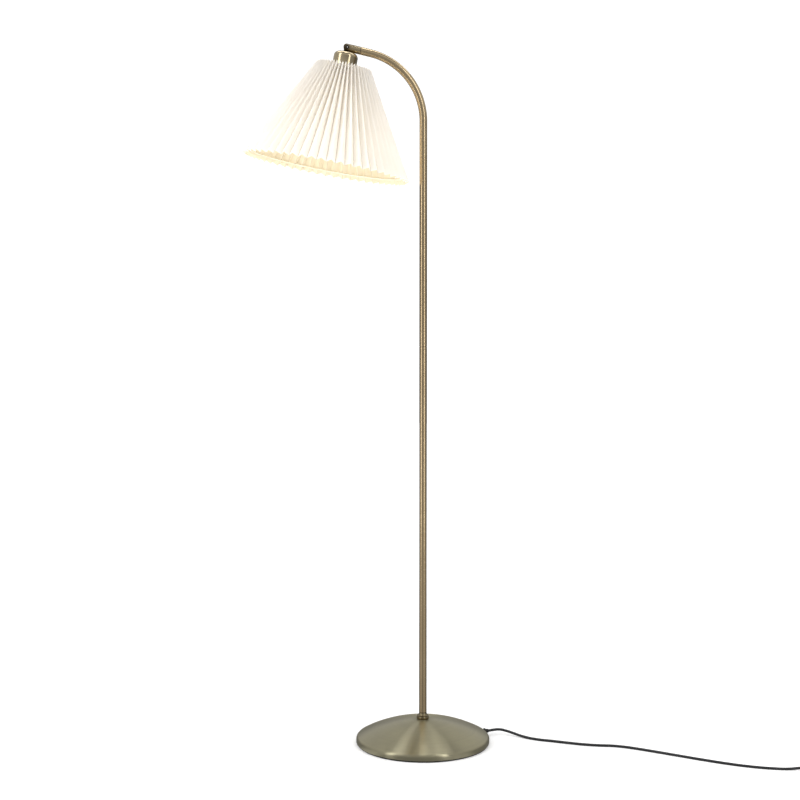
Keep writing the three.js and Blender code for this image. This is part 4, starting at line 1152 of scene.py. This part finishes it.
def linen(name, light, dark, through_share, sheen, crease_shade_depth=0.0):
    material, tree, shader = new_finish(name, Roughness=0.85, Sheen_Weight=sheen, Sheen_Roughness=0.5)
    strip = wire_up(tree, "UVMap", uv_map="strip").outputs["UV"]
    scale = BANDS_AT_SCALE_ONE / THREAD
    threads = []
    for direction in ("X", "Y"):
        bands = wire_up(tree, "TexWave", {"Vector": strip, "Scale": scale, "Distortion": 0.6, "Detail": 1.0,
                                          "Detail Scale": 0.05}, bands_direction=direction)
        threads.append(bands.outputs["Fac"])
    weave = maths(tree, "MULTIPLY", threads[0], threads[1])
    stretched_out = wire_up(tree, "Mapping", {"Vector": strip, "Scale": (900, 14, 1)}).outputs["Vector"]
    slubs = noise(tree, stretched_out, 1, 3.0)
    clouds = noise(tree, strip, 16, 3.0)
    tone = blend_colours(tree, spread(tree, clouds, 0, 0.6), light, dark)
    tone = blend_colours(tree, spread(tree, weave, 0.28, 0, 0, 1), tone, dark)
    tone = blend_colours(tree, spread(tree, slubs, 0, 0.35, 0.5, 0.75), tone, dark)
    on_strip = wire_up(tree, "SeparateXYZ", {0: strip}).outputs
    pleat = maths(tree, "FRACT", maths(tree, "MULTIPLY", on_strip["X"], PLEATS / strip_length))
    off_crease = maths(tree, "ABSOLUTE", maths(tree, "SUBTRACT", pleat, 0.5))
    # Painted shade: the colour darkens along each inner fold, as the shade in the crease, fading out near
    # the top.
    crease = spread(tree, off_crease, crease_shade_depth, 0, 0.004, 0.045)
    below_top = spread(tree, on_strip["Y"], 0.15, 1, 0.01, 0.13)
    tone = blend_colours(tree, maths(tree, "MULTIPLY", crease, below_top), tone, CREASE_SHADE)
    tree.links.new(tone, shader.inputs["Base Color"])
    coarse = bumped(tree, shader, slubs, 0.10, 0.0002)
    bumped(tree, shader, weave, 0.35, 0.0001, coarse)
    let_light_through(tree, shader, tone, through_share)
    return material


pale_linen = linen("pale linen", (0.955, 0.942, 0.925, 1), (0.91, 0.885, 0.85, 1), 0.36, 0.15, 0.75)
cream_inside = linen("cream inside", (0.95, 0.87, 0.69, 1), (0.90, 0.81, 0.61, 1), 0.36, 0.0, 0.2)
shade.data.materials.append(pale_linen)
shade.data.materials.append(cream_inside)
thicken = shade.modifiers.new("cloth thickness", "SOLIDIFY")
thicken.thickness = CLOTH
thicken.offset = 1.0
thicken.use_rim = True
thicken.material_offset = 1
made_real(shade, 70)
dressed(shade, pale_linen, "pleated_fabric", "head", "shade")
print("shade:", len(shade.data.polygons), "faces, cloth", CLOTH * 1000, "mm thick")


# %% [markdown]
# Each inner fold is sewn to the wire hoop behind it. A stitch is a loop of thread round the wire and
# through the fold: a thin ring, standing in the plane that holds the head's axis. All the loops of one
# hoop are built as one mesh, because they are one running thread.

# %% Stitches on the hoops
THREAD_RADIUS = 0.00022
STITCH_REACH = 0.0021


def stitches(name, down):
    points, rows_of_loops = [], []
    for fold in range(PLEATS):
        turn = 2 * math.pi * (fold + 0.5) / PLEATS
        heading = Vector((math.cos(turn), math.sin(turn), 0))
        centre = heading * (hoop_radius(down) + 0.0004) + Vector((0, 0, -down))
        rows = []
        for k in range(20):
            around = 2 * math.pi * k / 20
            outward = heading * math.cos(around) + Vector((0, 0, math.sin(around)))
            side = Vector((-math.sin(turn), math.cos(turn), 0))
            rows.append(list(range(len(points), len(points) + 6)))
            for x, y, _ in circle(THREAD_RADIUS, 6):
                points.append(centre + outward * (STITCH_REACH + x) + side * y)
        rows_of_loops += skin(rows, lengthways=True)
    thread = finished_mesh(name, points, rows_of_loops, 80, head_place)
    return dressed(thread, white_thread, "pleated_fabric", "head")


white_thread = linen("white thread", (0.9, 0.88, 0.84, 1), (0.8, 0.77, 0.7, 1), 0.15, 0.1)
top_stitches = stitches("stitches_top", SHADE_TOP + WIRE_INSET)
bottom_stitches = stitches("stitches_bottom", SHADE_BOTTOM - WIRE_INSET)
print("stitches:", 2 * PLEATS, "loops")


# %% [markdown]
# The foot switch is two moulded half shells with a big round button. Its outline is a rounded
# rectangle; the upper shell closes in toward the button's hole. Both have the same number of points,
# so the skin between them stays even. The lead runs straight through, in a channel cut by a rod.

# %% Foot switch
SWITCH_WIDTH = 0.036
SWITCH_CORNER = 0.013
SWITCH_SPLIT = 0.007
SWITCH_HEIGHT = 0.020
SWITCH_WALL = 0.002
BUTTON_RADIUS = 0.012
BUTTON_HOLE = BUTTON_RADIUS + 0.0004
CORNER_STEPS = 16
switch_place = Matrix.Translation(SWITCH)


def switch_outline(inset, height):
    x, y, corner = SWITCH_LENGTH / 2 - inset, SWITCH_WIDTH / 2 - inset, SWITCH_CORNER - inset
    centres = ((x - corner, y - corner), (corner - x, y - corner),
               (corner - x, corner - y), (x - corner, corner - y))
    outline = []
    for k, centre in enumerate(centres):
        outline += arc_points(centre, corner, math.pi / 2 * k, math.pi / 2 * (k + 1), CORNER_STEPS)
        ahead = centres[(k + 1) % 4]
        if k % 2 == 0:
            run = steps_between(outline[-1][0], ahead[0], 12)[1:-1]
            outline += [(step, outline[-1][1]) for step in run]
    return [(px, py, height) for px, py in outline]


def round_outline(radius, height):
    """A circle whose points lie in the same directions as the outline's, so that the faces stay even."""
    turns = [math.atan2(y, x) for x, y, _ in switch_outline(0, 0)]
    return [(radius * math.cos(turn), radius * math.sin(turn), height) for turn in turns]


def half_round(edge, height_at, steps=6):
    rings = []
    for k in range(steps + 1):
        angle = math.pi / 2 * k / steps
        rings.append(switch_outline(edge * (1 - math.cos(angle)), height_at + edge * math.sin(angle)))
    return rings


EDGE = 0.003
cover_low = SWITCH_SPLIT + PIECE_GAP
hollow_top = SWITCH_HEIGHT - SWITCH_WALL
cover_rings = [switch_outline(0.0003, cover_low), switch_outline(0, cover_low + 0.0003)]
cover_rings += half_round(EDGE, SWITCH_HEIGHT - EDGE)
cover_rings += [round_outline(BUTTON_HOLE + 0.0012, SWITCH_HEIGHT)]
cover_rings += [round_outline(BUTTON_HOLE, SWITCH_HEIGHT - 0.0008)]
cover_rings += [round_outline(BUTTON_HOLE, hollow_top), switch_outline(SWITCH_WALL + 0.0015, hollow_top)]
cover_rings += [switch_outline(SWITCH_WALL, hollow_top - 0.0015), switch_outline(SWITCH_WALL, cover_low)]
switch_cover = looped("switch_cover_fine", cover_rings, 40, switch_place)
POST_RADIUS = 0.0036
POST_BORE = 0.0019
post_places = [Matrix.Translation(SWITCH + Vector((x, y, 0))) for x, y in ((-0.025, 0.011), (0.025, -0.011))]
for place in post_places:
    cut_by(switch_cover, [rod(POST_RADIUS, cover_low, SWITCH_HEIGHT - 0.001, 24, place)], "UNION")
    cut_by(switch_cover, [rod(POST_BORE, cover_low - 0.001, SWITCH_HEIGHT - 0.005, 24, place)])


def lead_channel():
    """A rod a little thicker than the lead, which cuts its way through the switch."""
    along_the_lead = Matrix.Translation(SWITCH + Vector((0, 0, ENTRY_HEIGHT))) @ ALONG_X
    return rod(CORD_RADIUS + 0.0003, -SWITCH_LENGTH, SWITCH_LENGTH, 40, along_the_lead)


cut_by(switch_cover, [lead_channel()])
dressed(switch_cover, black_plastic, "black_plastic", "stand", "switch_cover")

base_rings = [switch_outline(0.0012, 0), switch_outline(0.0004, 0.0004), switch_outline(0, 0.0012)]
base_rings += [switch_outline(0, SWITCH_SPLIT - 0.0003), switch_outline(0.0003, SWITCH_SPLIT)]
base_rings += [switch_outline(SWITCH_WALL, SWITCH_SPLIT), switch_outline(SWITCH_WALL, SWITCH_WALL)]
switch_base = lofted("switch_base_fine", base_rings, 40, switch_place)
screw_bores = [rod(POST_BORE, -0.001, 0.003, 24, place) for place in post_places]
cut_by(switch_base, [lead_channel()] + screw_bores)
dressed(switch_base, black_plastic, "black_plastic", "stand", "switch_base")

BUTTON_TOP = SWITCH_HEIGHT + 0.0045
flange_top = SWITCH_HEIGHT - SWITCH_WALL - PIECE_GAP
grip = []
for ring in range(5):
    radius = 0.0095 - ring * 0.0019
    dish = BUTTON_TOP - 0.0008 * (1 - (radius / BUTTON_RADIUS) ** 2)
    grip += [(radius, dish), (radius - 0.0004, dish - 0.0004)]
    grip += [(radius - 0.0008, dish - 0.0004), (radius - 0.0012, dish)]
button_outline = [(0, flange_top - 0.002), (BUTTON_RADIUS + 0.0012, flange_top - 0.002)]
button_outline += [(BUTTON_RADIUS + 0.0012, flange_top), (BUTTON_RADIUS, flange_top)]
button_outline += arc_points((BUTTON_RADIUS - 0.0015, BUTTON_TOP - 0.0015), 0.0015, 0, math.pi / 2, 6)
button_outline += grip + [(0, BUTTON_TOP - 0.0008)]
button = turned("switch_button_fine", button_outline, 96, place=switch_place)
dressed(button, black_plastic, "black_plastic", "button", "switch_button")
print("foot switch:", round(SWITCH_LENGTH * 1000), "by", round(SWITCH_WIDTH * 1000), "mm")


# %% [markdown]
# The plug is one moulding: a ribbed, tapering strain relief that swells into a flat body with waisted
# sides to grip. Sections from round to nearly rectangular are skinned one after another. The two round
# pins have a chamfered tip and a black sleeve over the half next to the body.

# %% Plug
PLUG_RELIEF = 0.022
PLUG_BODY = 0.036
PLUG_HALF_HEIGHT = 0.0069
PLUG_HALF_WIDTH = 0.0176
PIN_SPACING = 0.009
PIN_LENGTH = 0.019
PLUG_PIN = 0.002
plug_place = Matrix.Translation(PLUG_REAR) @ Matrix.Rotation(math.pi, 4, "Z")


def plug_section(x, half_width, half_height, squareness):
    ring = []
    for k in range(64):
        turn = 2 * math.pi * k / 64
        c, s = math.cos(turn), math.sin(turn)
        y = math.copysign(abs(c) ** (2 / squareness), c) * half_width
        z = math.copysign(abs(s) ** (2 / squareness), s) * half_height
        ring.append((x, y, z))
    return ring


plug_rings = []
for rib in range(6):
    x = rib * 0.0032
    swell = GLAND_TIP - 0.0001 + 0.0017 * x / PLUG_RELIEF
    for offset, sink in ((0, 0.0007), (0.0003, 0), (0.0018, 0), (0.0021, 0.0007)):
        plug_rings.append(plug_section(x + offset, swell - sink, swell - sink, 2))
# Each section of the body: distance from the rear, half width, half height and squareness.
BODY_SHAPE = ((0.0205, 0.0055, 0.0055, 2.0), (0.022, 0.0066, 0.0060, 2.4), (0.026, 0.0079, 0.0065, 3.0),
              (0.031, 0.0092, PLUG_HALF_HEIGHT, 4.0), (0.036, 0.0112, PLUG_HALF_HEIGHT, 4.5),
              (0.041, 0.0140, PLUG_HALF_HEIGHT, 5.0), (0.0455, 0.0168, PLUG_HALF_HEIGHT, 5.5),
              (0.048, PLUG_HALF_WIDTH, PLUG_HALF_HEIGHT, 6.0),
              (0.0568, PLUG_HALF_WIDTH, PLUG_HALF_HEIGHT, 6.0),
              (0.0576, 0.0174, 0.0067, 6.0), (0.058, 0.0168, 0.0061, 6.0))
plug_rings += [plug_section(*row) for row in BODY_SHAPE]
plug_body = lofted("plug_body_fine", plug_rings, 40, plug_place)
front = PLUG_RELIEF + PLUG_BODY
sockets = [rod(PLUG_PIN + 0.0003, front - 0.008, front + 0.001, 32,
               plug_place @ Matrix.Translation((0, side * PIN_SPACING, 0)) @ ALONG_X) for side in (-1, 1)]
cut_by(plug_body, sockets + [rod(CORD_RADIUS + 0.0001, -0.001, 0.012, 32, plug_place @ ALONG_X)])
dressed(plug_body, black_plastic, "black_plastic", "stand", "plug_body")
for side, name in ((-1, "left"), (1, "right")):
    start, tip = front - 0.0077, front + PIN_LENGTH
    outline = [(0, start), (PLUG_PIN, start), (PLUG_PIN, tip - 0.0012)]
    outline += [(PLUG_PIN - 0.0003, tip - 0.0006), (PLUG_PIN - 0.0009, tip), (0, tip)]
    pin = turned("plug_pin_" + name + "_fine", outline, 40,
                 place=plug_place @ Matrix.Translation((0, side * PIN_SPACING, 0)) @ ALONG_X)
    dressed(pin, steel, "zinc_steel", "stand", "plug_pin_" + name)
print("plug:", round((PLUG_RELIEF + PLUG_BODY) * 1000), "mm long, pins", round(PIN_LENGTH * 1000), "mm")


# %% [markdown]
# The stored turns are held by two small wrapped ties. A tie is a flat strap bent round the bundle of
# turns: a rounded rectangle swept as a thin band. It keeps the coil from springing open.

# %% Ties on the coil
TIE_THICKNESS = 0.0007
TIE_WIDTH = 0.005
BUNDLE_HALF = 1.5 * 2 * CORD_RADIUS
BUNDLE_MIDDLE = FLOOR_HEIGHT + CORD_RADIUS


def coil_tie(name, turn):
    outward = Vector((math.cos(turn), math.sin(turn), 0))
    side = Vector((-math.sin(turn), math.cos(turn), 0))
    middle = COIL_CENTRE + outward * COIL_RADIUS + Vector((0, 0, BUNDLE_MIDDLE))
    inside = []
    for sign_x, sign_z, start in ((1, 1, 0), (-1, 1, 1), (-1, -1, 2), (1, -1, 3)):
        centre = (sign_x * (BUNDLE_HALF - CORD_RADIUS), sign_z * CORD_RADIUS)
        inside += arc_points(centre, CORD_RADIUS, math.pi / 2 * start, math.pi / 2 * (start + 1), 8)
    points, rows = [], []
    for x, z in inside:
        corner = Vector((x, z))
        heading = (corner - Vector((max(-BUNDLE_HALF + CORD_RADIUS, min(BUNDLE_HALF - CORD_RADIUS, x)),
                                    max(-CORD_RADIUS, min(CORD_RADIUS, z))))).normalized()
        far = corner + heading * TIE_THICKNESS
        rows.append(list(range(len(points), len(points) + 4)))
        for (px, pz), shift in ((corner, -0.5), (far, -0.5), (far, 0.5), (corner, 0.5)):
            place = middle + outward * px + side * TIE_WIDTH * shift
            points.append((place.x, place.y, max(0.0, middle.z + pz)))
    tie = finished_mesh(name, points, skin(rows, lengthways=True), 50)
    return dressed(tie, black_rubber, "black_rubber", "stand")


ties = [coil_tie("coil_tie_" + str(k + 1), math.radians(turn)) for k, turn in enumerate((-30, 150))]


# %% [markdown]
# Some solids keep their own shape, mostly the hidden works: the iron weight, nuts, washers, couplers
# and the screw shell. Each gets the finish of its own metal or plastic, so that the lamp is right from
# below and inside as well.

# %% Finishes for the solids that stay
KEPT = {
    iron: ("base_weight",),
    steel: ("base_spacer", "base_stud", "base_washer", "base_nut", "cord_clamp", "clamp_screw_left",
            "clamp_screw_right", "stem_coupler_lower", "stem_coupler_middle", "stem_coupler_upper",
            "knuckle_nut", "arm_nipple", "arm_end_plug", "cup_locknut", "switch_screw_1",
            "switch_screw_2"),
    bright_brass: ("lampholder_contact", "lampholder_shell"),
    white_plastic: ("knuckle_washer_front", "knuckle_washer_back", "lampholder_cap", "lampholder_insulator",
                    "switch_mechanism"),
    lead_sheath: ("lead_in_base", "lead_in_stem", "lead_in_arc"),
}
for material, names in KEPT.items():
    for name in names:
        for slot_place in nodes[name].material_slots:
            slot_place.material = material
print("kept solids:", sum(len(names) for names in KEPT.values()))


# %% [markdown]
# A plain pale floor runs far enough to meet the background. The floor glows more with distance, which
# lifts it to white and leaves a soft shadow by the base. The light is soft and comes from six panels.
# Two tall narrow ones, left and right of the front, draw the bright stripes down the polished tubes.
# Two wide ones wash the shade and don't show in the metal. Two overhead give the dome its fans. Metal
# shows what surrounds it, so the floor and the background are dimmer in a mirror than to the camera.

# %% Floor, background and light
def soft_panel(name, place, target, width, height, power):
    light = bpy.data.lights.new(name, "AREA")
    light.shape = "RECTANGLE"
    light.size, light.size_y = width, height
    light.energy = power
    panel = bpy.data.objects.new(name, light)
    bpy.context.scene.collection.objects.link(panel)
    panel.location = place
    panel.rotation_euler = (Vector(target) - Vector(place)).to_track_quat("-Z", "Y").to_euler()
    return panel


FLOOR_HALF = 9.0
KEY_PLACE = (-1.15, -0.72, 1.25)
FILL_PLACE = (0.86, -1.15, 1.25)
floor = finished_mesh("floor", [(-FLOOR_HALF, -FLOOR_HALF, 0), (FLOOR_HALF, -FLOOR_HALF, 0),
                                (FLOOR_HALF, FLOOR_HALF, 0), (-FLOOR_HALF, FLOOR_HALF, 0)], [(0, 1, 2, 3)])
pale, pale_tree, pale_shader = new_finish("pale floor", Roughness=0.9, Specular_IOR_Level=0.1)
pale_shader.inputs["Base Color"].default_value = (0.93, 0.93, 0.93, 1)
pale_shader.inputs["Emission Color"].default_value = (1, 1, 1, 1)
on_floor = on_piece(pale_tree)
from_lamp = wire_up(pale_tree, "VectorMath", {0: on_floor}, operation="LENGTH").outputs["Value"]
glow = spread(pale_tree, from_lamp, 0.20, 1.05, 0.3, 2.2)
pale_tree.links.new(glow, pale_shader.inputs["Emission Strength"])
compass = wire_up(pale_tree, "VectorMath", {0: on_floor}, operation="NORMALIZE").outputs["Vector"]


def wedge(x, y, brightness):
    """How much a panel that stands toward (x, y) brightens the floor in a mirror."""
    panel_side = Vector((x, y, 0)).normalized()
    toward = wire_up(pale_tree, "VectorMath", {0: compass, 1: panel_side}, operation="DOT_PRODUCT")
    return spread(pale_tree, toward.outputs["Value"], 0, brightness, 0.95, 0.995)


panel_glow = maths(pale_tree, "ADD", wedge(*KEY_PLACE[:2], 0.4), wedge(*FILL_PLACE[:2], 0.3))
toward_back = wire_up(pale_tree, "SeparateXYZ", {0: on_floor}).outputs["Y"]
mirror_glow = maths(pale_tree, "ADD", spread(pale_tree, from_lamp, 0.22, 0.34, 0.15, 1.2), panel_glow)
mirror_glow = maths(pale_tree, "MULTIPLY", mirror_glow, spread(pale_tree, toward_back, 1.0, 0.4, 0.0, 0.6))
dim = wire_up(pale_tree, "Emission", {"Strength": mirror_glow})
mirrored = wire_up(pale_tree, "LightPath").outputs["Is Glossy Ray"]
floor_mix = wire_up(pale_tree, "MixShader", {"Fac": mirrored, 1: pale_shader.outputs[0], 2: dim.outputs[0]})
pale_tree.links.new(floor_mix.outputs[0], pale_tree.nodes["Material Output"].inputs["Surface"])
floor.data.materials.append(pale)

soft_panel("key", KEY_PLACE, (-0.05, 0, 0.75), 0.34, 2.4, 6)
soft_panel("fill", FILL_PLACE, (0.0, 0, 0.75), 0.26, 2.4, 5)
wash_left = soft_panel("wash left", (-2.1, -1.7, 1.6), (-0.1, 0, 0.9), 1.6, 2.2, 25)
wash_right = soft_panel("wash right", (2.1, -1.7, 1.6), (-0.1, 0, 1.1), 1.6, 2.2, 17)
for wash in (wash_left, wash_right):
    wash.visible_glossy = False
soft_panel("top left", (-0.46, 0.25, 2.9), (-0.05, 0, 0.3), 0.42, 1.6, 7.5)
soft_panel("top right", (0.46, 0.25, 2.9), (-0.05, 0, 0.3), 0.36, 1.6, 5.4)

# %% Background
world = bpy.data.worlds.new("studio")
bpy.context.scene.world = world
world.use_nodes = True
sky = world.node_tree
background = sky.nodes["Background"]
background.inputs["Color"].default_value = (1, 1, 1, 1)
rays = wire_up(sky, "LightPath").outputs
direction = wire_up(sky, "SeparateXYZ", {0: wire_up(sky, "TexCoord").outputs["Generated"]}).outputs
overhead = spread(sky, direction["Z"], 1, 0.25, 0.78, 0.92)
behind = maths(sky, "MULTIPLY", spread(sky, direction["Z"], 0.14, 0.56, 0.06, 0.27), overhead)
ahead = maths(sky, "MULTIPLY", spread(sky, direction["Z"], 0.32, 0.56, 0.15, 0.42), overhead)
in_a_mirror = spread(sky, direction["Y"], ahead, behind, -0.15, 0.15)
otherwise = spread(sky, rays["Is Camera Ray"], 0.64, 1.15, 0, 1)
strength = spread(sky, rays["Is Glossy Ray"], otherwise, in_a_mirror, 0, 1)
sky.links.new(strength, background.inputs["Strength"])
bpy.context.scene.view_settings.view_transform = "Standard"
print("background:", world.name)
